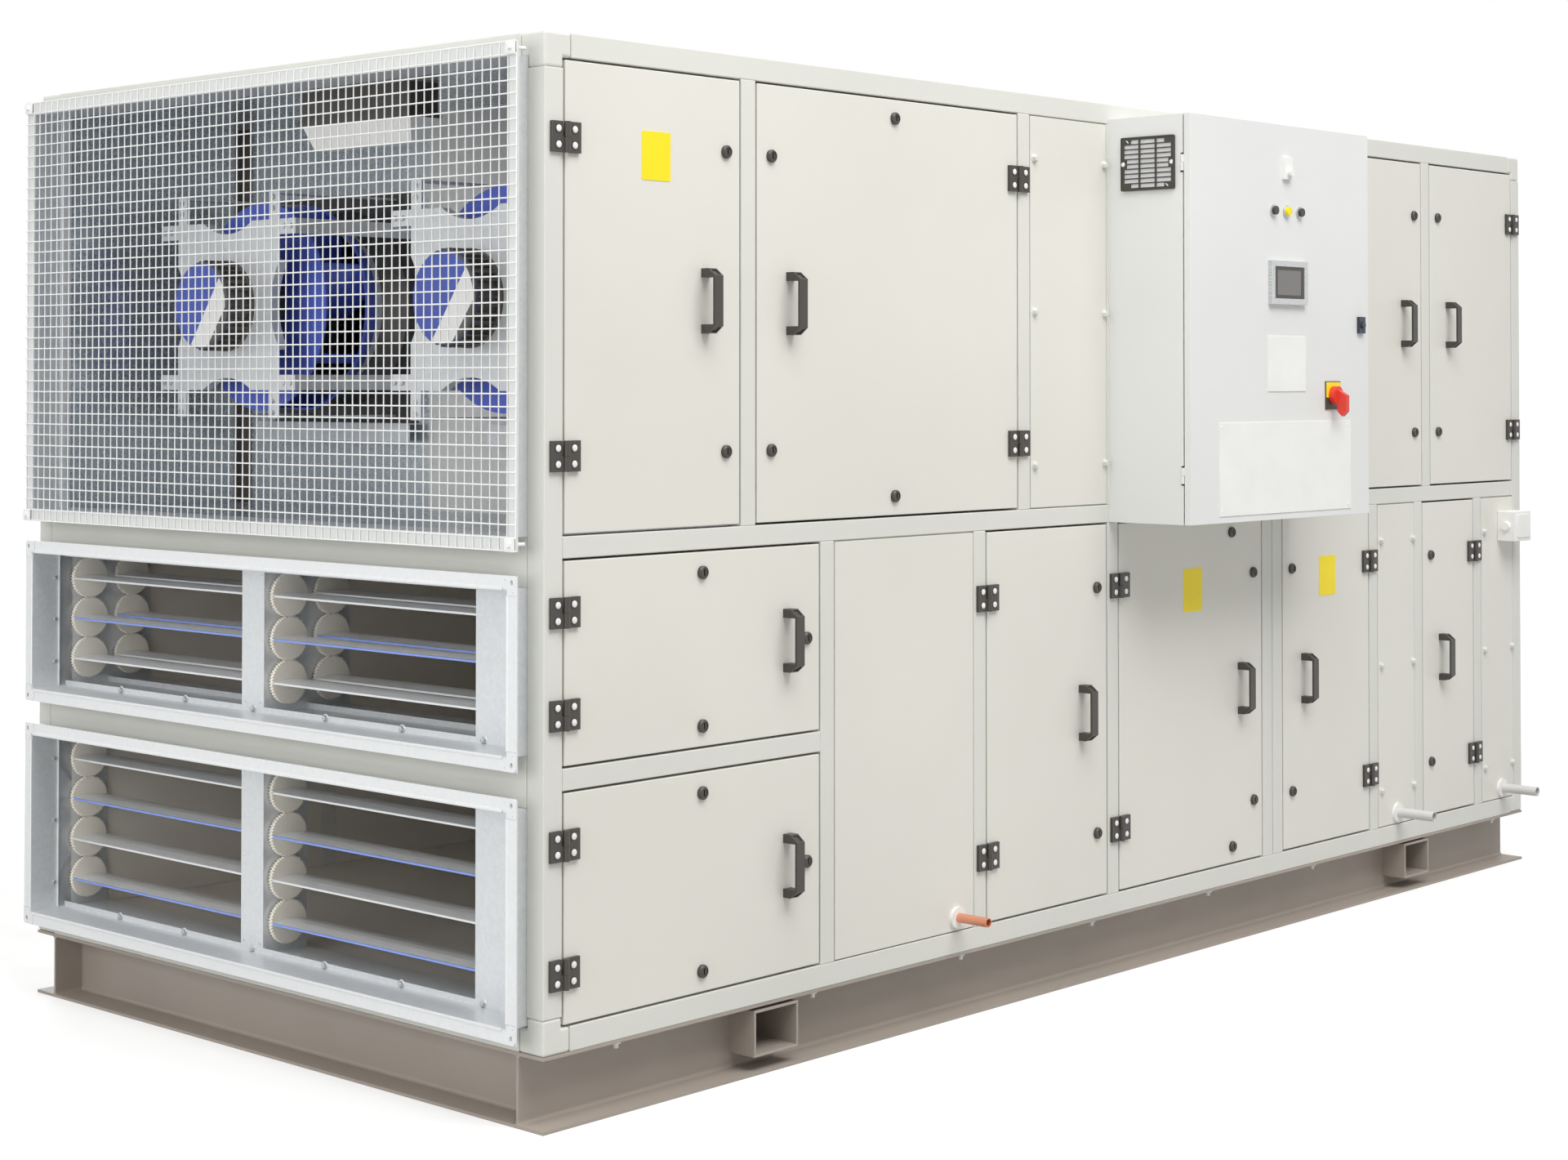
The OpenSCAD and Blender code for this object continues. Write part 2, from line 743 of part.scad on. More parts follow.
module guard_wires_upright() color(white) on_base() {
    y0 = sleeve_y0 - flange_w + wire_r;
    span = sleeve_y1 - sleeve_y0 + 2 * flange_w - 2 * wire_r;
    n = round(span / mesh_pitch);
    for (i = [0 : n])
        translate([-flange_out - wire_play - wire_r, y0 + i * span / n, mid_hi - flange_w])
            cylinder(r = wire_r, h = top_lo - mid_hi + 2 * flange_w, $fn = 8);
}

module guard_wires_level() color(white) on_base() {
    z0 = mid_hi - flange_w + wire_r;
    span = top_lo - mid_hi + 2 * flange_w - 2 * wire_r;
    n = round(span / mesh_pitch);
    for (i = [0 : n])
        translate([-flange_out - 2 * wire_play - 3 * wire_r, sleeve_y0 - flange_w, z0 + i * span / n])
            rotate([-90, 0, 0]) cylinder(r = wire_r, h = sleeve_y1 - sleeve_y0 + 2 * flange_w, $fn = 8);
}

module guard_corner_clips() color(white) on_base() at_flange_corners(mid_hi, top_lo - mid_hi) {
    x = flange_out - guard_out - clip_t;
    translate([x, -flange_w / 2, -flange_w / 2]) cube([clip_t, flange_w, flange_w]);
    translate([x - bolt_head, 0, 0]) rotate([0, 90, 0]) cylinder(r = bolt_r, h = bolt_head + over, $fn = 6);
    translate([x, 0, 0]) rotate([0, 90, 0]) cylinder(r = corner_hole_r - bolt_play, h = bolt_l);
}

// Frame sheets of one damper: lips, middle strut and closed end, with holes for the shafts
module damper_sheets(x, z0, rows) {
    h = damper_h(rows);
    difference() {
        union() {
            for (z = [z0 + sheet, z0 + h - sheet - blade_end + blade_side])
                box([x, sleeve_y0 + sheet, z], [x + sheet, sleeve_y1 - sheet, z + blade_end - blade_side]);
            box([x, strut_y0, z0 + sheet], [x + sheet, strut_y1, z0 + h - sheet]);
            for (y = [strut_y0, strut_y1 - sheet])
                box([x, y, z0 + sheet], [x + damper_d, y + sheet, z0 + h - sheet]);
            box([x, sleeve_y0 + sheet, z0 + sheet], [x + sheet, blank_y, z0 + h - sheet]);
            box([x, blank_y - sheet, z0 + sheet], [x + damper_d, blank_y, z0 + h - sheet]);
        }
        shaft_holes(x, z0, rows);
    }
}

module shaft_holes(x, z0, rows)
    for (i = [0 : rows - 1])
        translate([x + damper_d / 2, blank_y - 2 * sheet, z0 + row_z(rows, i)]) rotate([-90, 0, 0])
            cylinder(r = shaft_r + shaft_play, h = sleeve_y1 - blank_y + 3 * sheet);

module damper_frame(z0, rows) {
    difference() {
        sleeve(-flange_out, damper_in + damper_d, z0, damper_h(rows));
        shaft_holes(damper_in, z0, rows);
    }
    flange(z0, damper_h(rows));
    damper_sheets(damper_in, z0, rows);
}

module gear(phase) {
    step = 360 / gear_n;
    root = (blade_pitch - tooth_h) / 2 - shaft_play;
    tip = root + tooth_h;
    tooth = [[-0.3, root], [-0.13, tip], [0.13, tip], [0.3, root]];
    linear_extrude(gear_t) polygon([for (i = [0 : gear_n - 1], k = tooth)
        k[1] * [cos((i + phase + k[0]) * step), sin((i + phase + k[0]) * step)]]);
}

module blade(l) {
    a = blade_c / 2;
    b = shaft_r * 2;
    t = blade_t / 2;
    e = blade_edge / 2;
    linear_extrude(l) polygon([[-a, -e], [-b, -t], [b, -t], [a, -e], [a, e], [b, t], [-b, t], [-a, e]]);
}

// One row of a damper: a shaft with a blade and a gear in each half
module blade_row(x, z0, rows, i)
    translate([x + damper_d / 2, 0, z0 + row_z(rows, i)]) rotate([-90, 0, 0]) {
    phase = i % 2 == 0 ? 0 : 0.5;
    translate([0, 0, blank_y - sheet + row_play])
        cylinder(r = shaft_r, h = sleeve_y1 - blank_y + sheet - 2 * row_play);
    for (ends = [[blank_y, strut_y0], [strut_y1, sleeve_y1 - sheet]]) {
        translate([0, 0, ends[0] + blade_side]) blade(ends[1] - ends[0] - 2 * blade_side - gear_t / 2);
        translate([0, 0, ends[1] - blade_side - gear_t]) gear(phase);
    }
}

module upper_damper_frame() color(steel) on_base() damper_frame(upper_z, upper_rows);
module lower_damper_frame() color(steel) on_base() damper_frame(sill_h, lower_rows);

module inner_damper() color(steel) on_base() {
    x = damper_in + damper_d;
    difference() {
        sleeve(x, x + damper_d, upper_z, upper_h);
        shaft_holes(x, upper_z, upper_rows);
    }
    damper_sheets(x, upper_z, upper_rows);
    for (i = [0 : upper_rows - 1]) blade_row(x, upper_z, upper_rows, i);
}

module upper_blades(i) color(steel) on_base() blade_row(damper_in, upper_z, upper_rows, i);
module lower_blades(i) color(steel) on_base() blade_row(damper_in, sill_h, lower_rows, i);

// Cross-shaped plate with two ears on each side
module bracket_plate() {
    o = ear_s + ear_w / 2;
    square(2 * o, center = true);
    for (a = [0 : 90 : 270], s = [-1, 1])
        rotate(a) translate([s * ear_s - ear_w / 2, 0]) square([ear_w, bracket_s]);
}

module at_notches() for (a = [0 : 90 : 270]) rotate(a) translate([0, notch_s + notch_r]) children();

// Bracket with folded rims, the struts from its ears to the fan wall and the angle under the plate
module fan_bracket() {
    translate([bracket_x, 0, 0]) rotate([90, 0, 90]) {
        linear_extrude(bracket_t) difference() {
            bracket_plate();
            at_notches() circle(r = notch_r);
            circle(r = motor_r + shaft_play);
        }
        linear_extrude(rim_d) intersection() {
            bracket_plate();
            at_notches() difference() {
                circle(r = notch_r + bracket_t);
                circle(r = notch_r);
            }
        }
    }
    for (a = [0 : 90 : 270], s = [-1, 1]) rotate([a, 0, 0])
        translate([bracket_x + bracket_t - over, s * ear_s - ear_w / 2, bracket_s - bracket_t])
            cube([wall_x0 - sheet - bracket_x - bracket_t + over, ear_w, bracket_t]);
    translate([wall_x0 - angle_h, -angle_l / 2, -inlet_s - sheet]) cube([angle_h, angle_l, sheet]);
    translate([wall_x0 - angle_h, -angle_l / 2, -inlet_s - angle_h]) cube([sheet, angle_l, angle_h]);
}

module fan_brackets() color(steel) on_base() at_fans() fan_bracket();

// A motor along Z: a cap, cooling fins and the collar that sits in the bracket
module motor() difference() {
    core = motor_r - fin_h;
    union() {
        rotate_extrude() polygon([[0, 0], [cap_r - cap_edge, 0], [cap_r, cap_edge], [cap_r, cap_h],
            [core, cap_h], [core, motor_l], [0, motor_l]]);
        translate([0, 0, cap_h - over]) linear_extrude(motor_l - cap_h + over)
            for (i = [0 : fin_n - 1]) rotate(i * 360 / fin_n)
                translate([core - 2 * over, -fin_t / 2]) square([fin_h + over, fin_t]);
        translate([0, 0, motor_out + (bracket_t - collar_l) / 2]) cylinder(r = motor_r, h = collar_l);
    }
    translate([0, 0, motor_l - shaft_in - fit]) cylinder(r = motor_shaft_r + shaft_play, h = motor_l);
}

module fan_motors() color(blue) on_base() at_fans() translate([motor_x, 0, 0]) rotate([0, 90, 0]) motor();

// One curved impeller blade, seen along the shaft
module wheel_blade() intersection() {
    difference() {
        circle(r = wheel_r - wheel_t / 2);
        circle(r = blade_root);
    }
    translate([bend_x, 0]) difference() {
        circle(r = blade_bend);
        circle(r = blade_bend - wheel_t);
    }
    translate([-wheel_r, 0]) square(2 * wheel_r);
}

// A wheel with a back disc, a hub, curved blades and a sloping shroud round its inlet
module impeller() translate([wheel_x, 0, 0]) rotate([0, 90, 0]) {
    rim = wheel_l - shroud_l;
    lip = inlet_r + wheel_t;
    stem = wheel_gap + shaft_in;
    inner = wheel_l - cone_in - wheel_gap;
    translate([0, 0, -stem]) cylinder(r = motor_shaft_r, h = stem + over);
    cylinder(r = wheel_r, h = wheel_t);
    cylinder(r1 = hub_r, r2 = hub_tip, h = hub_l);
    rotate_extrude() polygon([[wheel_r, rim], [wheel_r, rim + wheel_t], [lip, wheel_l],
        [inlet_r, wheel_l], [inlet_r, wheel_l - wheel_t], [wheel_r - wheel_t, rim]]);
    intersection() {
        for (k = [0 : wheel_blades - 1]) rotate(k * 360 / wheel_blades) linear_extrude(wheel_l) wheel_blade();
        rotate_extrude() polygon([[0, over], [wheel_r, over], [wheel_r, rim + over],
            [inlet_r + 2 * over, wheel_l - 2 * over], [inlet_r + 2 * over, inner], [0, inner]]);
    }
}

module impeller_front() color(blue) on_base() translate([0, body_d / 2 - fan_y, fan_axis]) impeller();
module impeller_back() color(blue) on_base() translate([0, body_d / 2 + fan_y, fan_axis]) impeller();

// Inlet cones, each with a square plate against the fan wall
module inlet_cones() color(steel) on_base() at_fans() {
    x = wheel_x + wheel_l - cone_in;
    l = wall_x0 - x;
    neck = cone_r - sheet;
    mouth = inlet_r + cone_lip;
    translate([x, 0, 0]) rotate([0, 90, 0]) rotate_extrude() polygon([[neck, 0], [cone_r, 0],
        [cone_r, cone_l], [inlet_r + cone_wide, l - sheet], [inlet_r + cone_wide, l], [mouth, l],
        [neck, cone_l + sheet]]);
    difference() {
        translate([wall_x0 - sheet, -inlet_s, -inlet_s]) cube([sheet, 2 * inlet_s, 2 * inlet_s]);
        translate([wall_x0 - sheet - over, 0, 0]) rotate([0, 90, 0])
            cylinder(r = mouth, h = sheet + 2 * over);
    }
}

// Bulkhead lamp: a body under the roof, a rim and a sloping diffuser
module fan_lamp() color(white) on_base() translate([lamp_x, body_d / 2 - lamp_y, top_lo]) {
    lamp_box(lamp_lip, 0, lamp_body + over);
    lamp_box(0, lamp_body, lamp_rim);
    intersection() {
        rotate([90, 0, 0]) linear_extrude(lamp_l, center = true) lamp_side(lamp_w);
        rotate([90, 0, 90]) linear_extrude(lamp_w, center = true) lamp_side(lamp_l);
    }
}

module lamp_box(inset, down, h)
    translate([inset - lamp_w / 2, inset - lamp_l / 2, -down - h])
        cube([lamp_w - 2 * inset, lamp_l - 2 * inset, h]);

// Outline of the diffuser across a given width
module lamp_side(w) {
    a = w / 2 - lamp_lip;
    b = a - lamp_slope;
    top = 1 - lamp_body - lamp_rim;
    polygon([[-a, top], [a, top], [b, -lamp_h], [-b, -lamp_h]]);
}

// A door leaf in a bay of the front
module leaf(x0, x1, z0, z1) color(panel_grey) on_base()
    box([x0 + door_gap, 0, z0 + door_gap], [x1 - door_gap, door_t, z1 - door_gap]);

// One half of a hinge. It lies on side 1 or -1 of the pin, with its knuckle above or below
module hinge_half(x, z, side, above) {
    play = above ? hinge_play / 2 : -hinge_h / 2;
    root = knuckle_r + hinge_strap;
    h = (hinge_h - hinge_play) / 2;
    translate([x, hinge_y, z + play]) cylinder(r = knuckle_r, h = h);
    translate([x - (side < 0 ? root + over : 0), -hinge_t, z + play]) cube([root + over, hinge_t, h]);
    translate([x + (side < 0 ? -hinge_w : root), -hinge_t, z - hinge_h / 2])
        cube([hinge_w - root, hinge_t, hinge_h]);
}

// Outline of a bridge handle: two feet, a thin grip and sloping ends
module handle_outline() {
    l = handle_l / 2;
    grip = handle_out - handle_t;
    foot = l - handle_foot;
    polygon([[0, -l], [-handle_side, -l], [-handle_out, handle_cut - l], [-handle_out, l - handle_cut],
        [-handle_side, l], [0, l], [0, foot], [-grip, foot], [-grip, -foot], [0, -foot]]);
}

// A bridge handle with a pocket in each sloping end
module handle(x, z) translate([x, 0, z]) difference() {
    run = handle_out - handle_side;
    rim = (handle_w - pocket_w) / 2;
    pocket_l = norm([run, handle_cut]) - 2 * rim;
    translate([-handle_w / 2, 0, 0]) rotate([90, 0, 90]) linear_extrude(handle_w) handle_outline();
    for (k = [0, 1]) mirror([0, 0, k]) translate([0, -handle_side, -handle_l / 2])
        rotate([-atan2(handle_cut, run), 0, 0]) translate([-pocket_w / 2, -rim - pocket_l, -over])
            cube([pocket_w, pocket_l, pocket_d + over]);
}

// A round latch with a sloping rim, a dished middle and a key slot
module latch(x, z) translate([x, 0, z]) rotate([90, 0, 0]) difference() {
    floor = latch_h - latch_cup_d;
    rotate_extrude() polygon([[0, 0], [latch_r, 0], [latch_r, latch_h - latch_edge],
        [latch_r - latch_edge, latch_h], [latch_cup_r, latch_h], [latch_cup_r, floor], [0, floor]]);
    translate([-latch_slot_w / 2, -latch_slot_l / 2, floor - latch_slot_d])
        cube([latch_slot_w, latch_slot_l, latch_slot_d + over]);
}

// Handle, latches and hinge leaves of a door that is hinged on side -1 or 1
module fittings(x0, x1, z0, z1, side, inset, one_latch) color(black) on_base() {
    pin = side < 0 ? x0 + door_gap / 2 : x1 - door_gap / 2;
    free = side < 0 ? x1 - door_gap : x0 + door_gap;
    lo = z0 + door_gap + inset;
    hi = z1 - door_gap - inset;
    hinge_half(pin, lo, -side, true);
    hinge_half(pin, hi, -side, true);
    handle(free + side * handle_inset, (z0 + z1) / 2);
    if (one_latch) latch(free + side * latch_inset, (z0 + z1) / 2);
    else for (z = [lo, hi]) latch(free + side * latch_inset, z);
}

// Latches at the top and bottom edge of a door
module edge_latches(x, z0, z1) color(black) on_base()
    for (z = [z0 + door_gap + latch_inset, z1 - door_gap - latch_inset]) latch(x, z);

module door_u1() leaf(profile, u_split_1 - half, mid_hi, top_lo);
module fittings_u1() fittings(profile, u_split_1 - half, mid_hi, top_lo, -1, fit_inset, false);

module door_u2() leaf(u_split_1 + half, u_split_2 - half, mid_hi, top_lo);
module fittings_u2() {
    fittings(u_split_1 + half, u_split_2 - half, mid_hi, top_lo, 1, fit_inset, false);
    edge_latches((u_split_1 + u_split_2) / 2, mid_hi, top_lo);
}

module door_u5() leaf(u_split_4 + half, u_split_5 - half, mid_hi, top_lo);
module fittings_u5() fittings(u_split_4 + half, u_split_5 - half, mid_hi, top_lo, -1, fit_inset, false);

module door_u6() leaf(u_split_5 + half, body_l - profile, mid_hi, top_lo);
module fittings_u6() fittings(u_split_5 + half, body_l - profile, mid_hi, top_lo, 1, fit_inset, false);

module door_l1() leaf(profile, l_split_1 - half, low_hi, mid_lo);
module fittings_l1() {
    fittings(profile, l_split_1 - half, low_hi, mid_lo, -1, fit_inset_small, true);
    edge_latches((profile + l_split_1) / 2, low_hi, mid_lo);
}

module door_l2() leaf(profile, l_split_1 - half, profile, low_lo);
module fittings_l2() {
    fittings(profile, l_split_1 - half, profile, low_lo, -1, fit_inset_small, true);
    edge_latches((profile + l_split_1) / 2, profile, low_lo);
}

module door_l4() leaf(l_split_2 + half, split_3 - half, profile, mid_lo);
module fittings_l4() fittings(l_split_2 + half, split_3 - half, profile, mid_lo, -1, fit_inset, false);

module door_l5() leaf(split_3 + half, joint_l, profile, mid_lo);
module fittings_l5() {
    fittings(split_3 + half, joint_l, profile, mid_lo, -1, fit_inset, false);
    edge_latches(joint_l - door_gap - handle_inset - latch_inset, profile, mid_lo);
}

module door_l6() leaf(joint_r, l_split_4 - half, profile, mid_lo);
module fittings_l6() fittings(joint_r, l_split_4 - half, profile, mid_lo, 1, fit_inset, false);

module door_l8() leaf(l_split_5 + half, l_split_6 - half, profile, mid_lo);
module fittings_l8() fittings(l_split_5 + half, l_split_6 - half, profile, mid_lo, 1, fit_inset, false);

// Fixed hinge halves of a door
module fixed_halves(x0, x1, z0, z1, side, inset) {
    pin = side < 0 ? x0 + door_gap / 2 : x1 - door_gap / 2;
    for (z = [z0 + door_gap + inset, z1 - door_gap - inset]) hinge_half(pin, z, side, false);
}

module hinge_leaves() color(black) on_base() {
    fixed_halves(profile, u_split_1 - half, mid_hi, top_lo, -1, fit_inset);
    fixed_halves(u_split_1 + half, u_split_2 - half, mid_hi, top_lo, 1, fit_inset);
    fixed_halves(u_split_4 + half, u_split_5 - half, mid_hi, top_lo, -1, fit_inset);
    fixed_halves(u_split_5 + half, body_l - profile, mid_hi, top_lo, 1, fit_inset);
    fixed_halves(profile, l_split_1 - half, low_hi, mid_lo, -1, fit_inset_small);
    fixed_halves(profile, l_split_1 - half, profile, low_lo, -1, fit_inset_small);
    fixed_halves(l_split_2 + half, split_3 - half, profile, mid_lo, -1, fit_inset);
    fixed_halves(split_3 + half, joint_l, profile, mid_lo, -1, fit_inset);
    fixed_halves(joint_r, l_split_4 - half, profile, mid_lo, 1, fit_inset);
    fixed_halves(l_split_5 + half, l_split_6 - half, profile, mid_lo, 1, fit_inset);
}

// Control cabinet: an open box with two hinge barrels at the left of its mouth
module control_cabinet() color(panel_grey) on_base() translate([cc_x, 0, cc_z]) {
    difference() {
        box([0, cc_body_y, 0], [cc_w, 0, cc_h]);
        box([cc_t, cc_body_y - over, cc_t], [cc_w - cc_t, -cc_t, cc_h - cc_t]);
    }
    for (z = cc_hinges) translate([0, cc_pin_y, z - cc_barrel_h / 2]) {
        cylinder(r = cc_barrel_r, h = barrel_h);
        translate([-over, 0, 0]) cube([cc_t + over, cc_gap / 2 + cc_reach, barrel_h]);
    }
}

// Control cabinet door: a pan with two hinge barrels
module control_door() color(panel_grey) on_base() translate([cc_x, 0, cc_z]) {
    back = cc_front + cc_door_d;
    difference() {
        box([0, cc_front, 0], [cc_w, back, cc_h]);
        box([cc_t, cc_front + cc_t, cc_t], [cc_w - cc_t, back + over, cc_h - cc_t]);
    }
    for (z = cc_hinges) {
        translate([0, cc_pin_y, z + hinge_play / 2]) cylinder(r = cc_barrel_r, h = barrel_h);
        translate([0, back - cc_reach, z + hinge_play / 2]) cube([cc_t, cc_gap / 2 + cc_reach, barrel_h]);
    }
}

// A plate or knob on the control cabinet door, by its centre from the lower left door corner
module on_door(x, z) translate([cc_x + x, cc_front, cc_z + z]) children();
module plate(w, h, t) translate([-w / 2, -t, -h / 2]) cube([w, t, h]);
module knob(r, h) rotate([90, 0, 0]) cylinder(r = r, h = h);

module control_fittings() color(white) on_base() {
    column = cc_w / 2 + column_x;
    on_door(column, toggle_z) plate(toggle_w, toggle_h, toggle_t);
    on_door(column, toggle_z - toggle_drop) knob(toggle_r, toggle_out);
    for (k = [-1 : 1]) on_door(column + k * button_pitch, button_z) {
        knob(ring_r, ring_h);
        knob(button_r, button_h);
    }
    on_door(column, screen_z) difference() {
        plate(screen_w, screen_h, screen_t);
        translate([0, screen_in - screen_t, 0])
            plate(screen_w - 2 * screen_rim, screen_h - 2 * screen_rim, screen_in + over);
    }
    on_door(cc_w - lock_inset, lock_z) {
        plate(lock_w, lock_h, lock_t);
        knob(lock_r, lock_out);
    }
    on_door(column, label_z) plate(label_w, label_h, plate_t);
    on_door(cc_w - switch_inset, switch_z) plate(switch_w, switch_w, switch_plate_t);
    on_door(column, sign_z) plate(sign_w, sign_h, plate_t);
}

// Turning handle of the main switch, a boss with a grip that hangs down from it
module switch_handle() color([0.75, 0.1, 0.1]) on_base() on_door(cc_w - switch_inset, switch_z) {
    boss = switch_plate_t + fit;
    top = boss + switch_h;
    tip = switch_up - switch_l;
    slope = switch_out - top;
    translate([0, -boss, 0]) knob(switch_r, switch_h);
    translate([-switch_t / 2, 0, 0]) rotate([90, 0, 90]) linear_extrude(switch_t)
        polygon([[over - top, switch_up], [-switch_out, 0], [-switch_out, tip + slope / 2],
            [-top - slope / 2, tip], [-top, tip + slope / 2], [over - top, 0]]);
}

module cabinet_vent() color(black) on_base() difference() {
    x = cc_x - vent_t;
    z = cc_z + cc_h - vent_drop;
    col = (vent_w - 2 * vent_rim) / vent_cols;
    row = (vent_h - 2 * vent_rim) / vent_rows;
    box([x, -vent_y - vent_w / 2, z - vent_h / 2], [cc_x, vent_w / 2 - vent_y, z + vent_h / 2]);
    for (c = [0 : vent_cols - 1], r = [0 : vent_rows - 1])
        translate([x - over, vent_rim + c * col + slot_gap / 2 - vent_y - vent_w / 2,
            z + vent_rim + r * row + (row - slot_h) / 2 - vent_h / 2])
            cube([slot_d + over, col - slot_gap, slot_h]);
}

// Junction box with a cable entry in its left side
module junction_box() color(white) on_base()
    translate([body_l - box_side - box_w, -box_d, mid_lo - box_drop - box_h]) {
        cube([box_w, box_d, box_h]);
        translate([-gland_l, box_d / 2, box_h / 2]) rotate([0, 90, 0]) cylinder(r = gland_r, h = gland_l + over);
    }

// An open drain stub that stands on its rosette
module drain(x, r, l) translate([x, -rosette_t, drain_z]) rotate([90, 0, 0]) difference() {
    cylinder(r = r, h = l - rosette_t);
    translate([0, 0, -over]) cylinder(r = r - drain_t, h = l);
}

module rosette(x, r) translate([x, 0, drain_z]) rotate([90, 0, 0]) difference() {
    cylinder(r = r + rosette_w, h = rosette_t);
    translate([0, 0, -over]) cylinder(r = r - drain_t, h = rosette_t + 2 * over);
}

module copper_drain() color([0.72, 0.45, 0.3]) on_base() drain(copper_x, copper_r, copper_l);

module grey_drains() color([0.55, 0.56, 0.57]) on_base() {
    drain(drain_x_1, drain_r, drain_l);
    drain(drain_x_2, drain_r, drain_l);
}

module drain_rosettes() color(white) on_base() {
    rosette(copper_x, copper_r);
    rosette(drain_x_1, drain_r);
    rosette(drain_x_2, drain_r);
}

base_frame();
lifting_tubes();
corner_pieces();
posts();
frame_rails();
wall_panels();
front_fixed_panels();
middle_deck();
fan_wall();
guard_sleeve();
guard_wires_upright();
guard_wires_level();
guard_corner_clips();
upper_damper_frame();
inner_damper();
lower_damper_frame();
fan_brackets();
fan_motors();
inlet_cones();
fan_lamp();
hinge_leaves();
control_cabinet();
cabinet_vent();
junction_box();
copper_drain();
grey_drains();
drain_rosettes();
door_u1();
fittings_u1();
door_u2();
fittings_u2();
door_u5();
fittings_u5();
door_u6();
fittings_u6();
door_l1();
fittings_l1();
door_l2();
fittings_l2();
door_l4();
fittings_l4();
door_l5();
fittings_l5();
door_l6();
fittings_l6();
door_l8();
fittings_l8();
control_door();
control_fittings();
switch_handle();
upper_blades(0);  // upper_blades_1
upper_blades(1);  // upper_blades_2
upper_blades(2);  // upper_blades_3
lower_blades(0);  // lower_blades_1
lower_blades(1);  // lower_blades_2
lower_blades(2);  // lower_blades_3
lower_blades(3);  // lower_blades_4
impeller_front();
impeller_back();
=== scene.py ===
import json
import math

import bmesh
import bpy
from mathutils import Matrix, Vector
from mathutils.geometry import tessellate_polygon


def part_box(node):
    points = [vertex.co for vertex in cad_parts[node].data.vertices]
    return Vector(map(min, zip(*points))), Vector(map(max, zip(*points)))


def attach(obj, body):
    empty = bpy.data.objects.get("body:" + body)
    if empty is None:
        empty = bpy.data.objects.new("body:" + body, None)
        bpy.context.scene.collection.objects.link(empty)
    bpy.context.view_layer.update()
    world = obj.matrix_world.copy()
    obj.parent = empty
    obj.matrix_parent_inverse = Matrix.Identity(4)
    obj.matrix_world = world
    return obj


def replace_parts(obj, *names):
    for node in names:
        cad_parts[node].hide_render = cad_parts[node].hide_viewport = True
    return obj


# Looks of the air handling unit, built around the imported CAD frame. Metres, in the row frame.
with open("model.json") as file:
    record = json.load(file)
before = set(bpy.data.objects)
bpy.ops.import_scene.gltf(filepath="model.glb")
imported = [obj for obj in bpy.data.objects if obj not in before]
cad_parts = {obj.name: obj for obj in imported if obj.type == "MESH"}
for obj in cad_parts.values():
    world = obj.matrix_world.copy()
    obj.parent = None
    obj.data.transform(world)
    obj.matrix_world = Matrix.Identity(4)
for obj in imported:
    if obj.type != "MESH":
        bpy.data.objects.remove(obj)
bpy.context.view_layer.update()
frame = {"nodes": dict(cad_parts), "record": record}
nodes = frame["nodes"]
pins = [Vector(joint["pos_m"]) for joint in frame["record"]["behaviour"]["joints"]]

MM = 0.001
FRONT = Vector((0, -1, 0))
BACK = Vector((0, 1, 0))
END = Vector((-1, 0, 0))
ALONG = Vector((1, 0, 0))
UP = Vector((0, 0, 1))

DOORS = ["u1", "u2", "u5", "u6", "l1", "l2", "l4", "l5", "l6", "l8"]
DOOR_NODES = ["door_" + door for door in DOORS]
FITTING_NODES = ["fittings_" + door for door in DOORS]
ROWS = [("upper", i) for i in (1, 2, 3)] + [("lower", i) for i in (1, 2, 3, 4)]
BLADE_NODES = ["%s_blades_%d" % row for row in ROWS]
DAMPER_NODES = ["upper_damper_frame", "lower_damper_frame"]

# Lower front left corner of the panelled cabinet, its size and its walls in whole millimetres
cabinet_lo, cabinet_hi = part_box("corner_pieces")
SIZE = Vector([round(c / MM) for c in cabinet_hi - cabinet_lo])
WALL = 50


def at(x=0, y=0, z=0):
    """A point given in millimetres from the cabinet's lower front left corner."""
    return cabinet_lo + Vector((x, y, z)) * MM


def in_mm(point):
    """The millimetres of a point from the cabinet's lower front left corner."""
    return (point - cabinet_lo) / MM


def middle(name):
    """The middle of a CAD node's box."""
    lo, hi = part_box(name)
    return (lo + hi) / 2


# Colours


def srgb(r, g, b):
    """A colour given as it shows on screen, 0 to 255, as the linear values that shaders take."""
    parts = [c / 255 for c in (r, g, b)]
    return tuple(c / 12.92 if c < 0.04045 else ((c + 0.055) / 1.055) ** 2.4 for c in parts) + (1,)


PANEL = srgb(228, 226, 217)
FRAME = srgb(223, 223, 216)
CABINET = srgb(232, 233, 231)
BASE = srgb(170, 160, 150)
GALVANISED = srgb(220, 223, 225)
ALUMINIUM = srgb(232, 233, 233)
WHITE_WIRE = srgb(246, 247, 245)
WHITE_PLASTIC = srgb(243, 243, 240)
BLACK = srgb(66, 62, 57)
HINGE_BROWN = srgb(70, 64, 59)
BLUE = srgb(72, 91, 182)
IMPELLER_BLUE = srgb(92, 112, 216)
CREAM = srgb(252, 246, 234)
COPPER = srgb(232, 160, 130)
GREY_PLASTIC = srgb(216, 215, 212)
RED = srgb(226, 60, 44)
INNER = srgb(192, 199, 204)
YELLOW = srgb(255, 230, 18)
BRIGHT = srgb(232, 234, 235)
# Painted shade: the dark tone of the inlet cones stands for the shade around the fans
PAINTED_SHADE_STEEL = srgb(92, 89, 86)
ZINC = srgb(206, 208, 210)
CAST = srgb(96, 91, 86)
SILVER = srgb(206, 207, 208)
DARK_CAP = srgb(52, 54, 58)
LOCK = srgb(46, 52, 66)
MAT = srgb(232, 233, 234)
SEAL = srgb(142, 166, 238)
SCREEN = srgb(118, 116, 114)
STRIP = srgb(226, 228, 226)
LINING = srgb(236, 229, 219)
SHEET = srgb(216, 216, 214)
DARK_PROFILE = srgb(84, 76, 68)
FLOOR = srgb(180, 180, 179)


# Materials


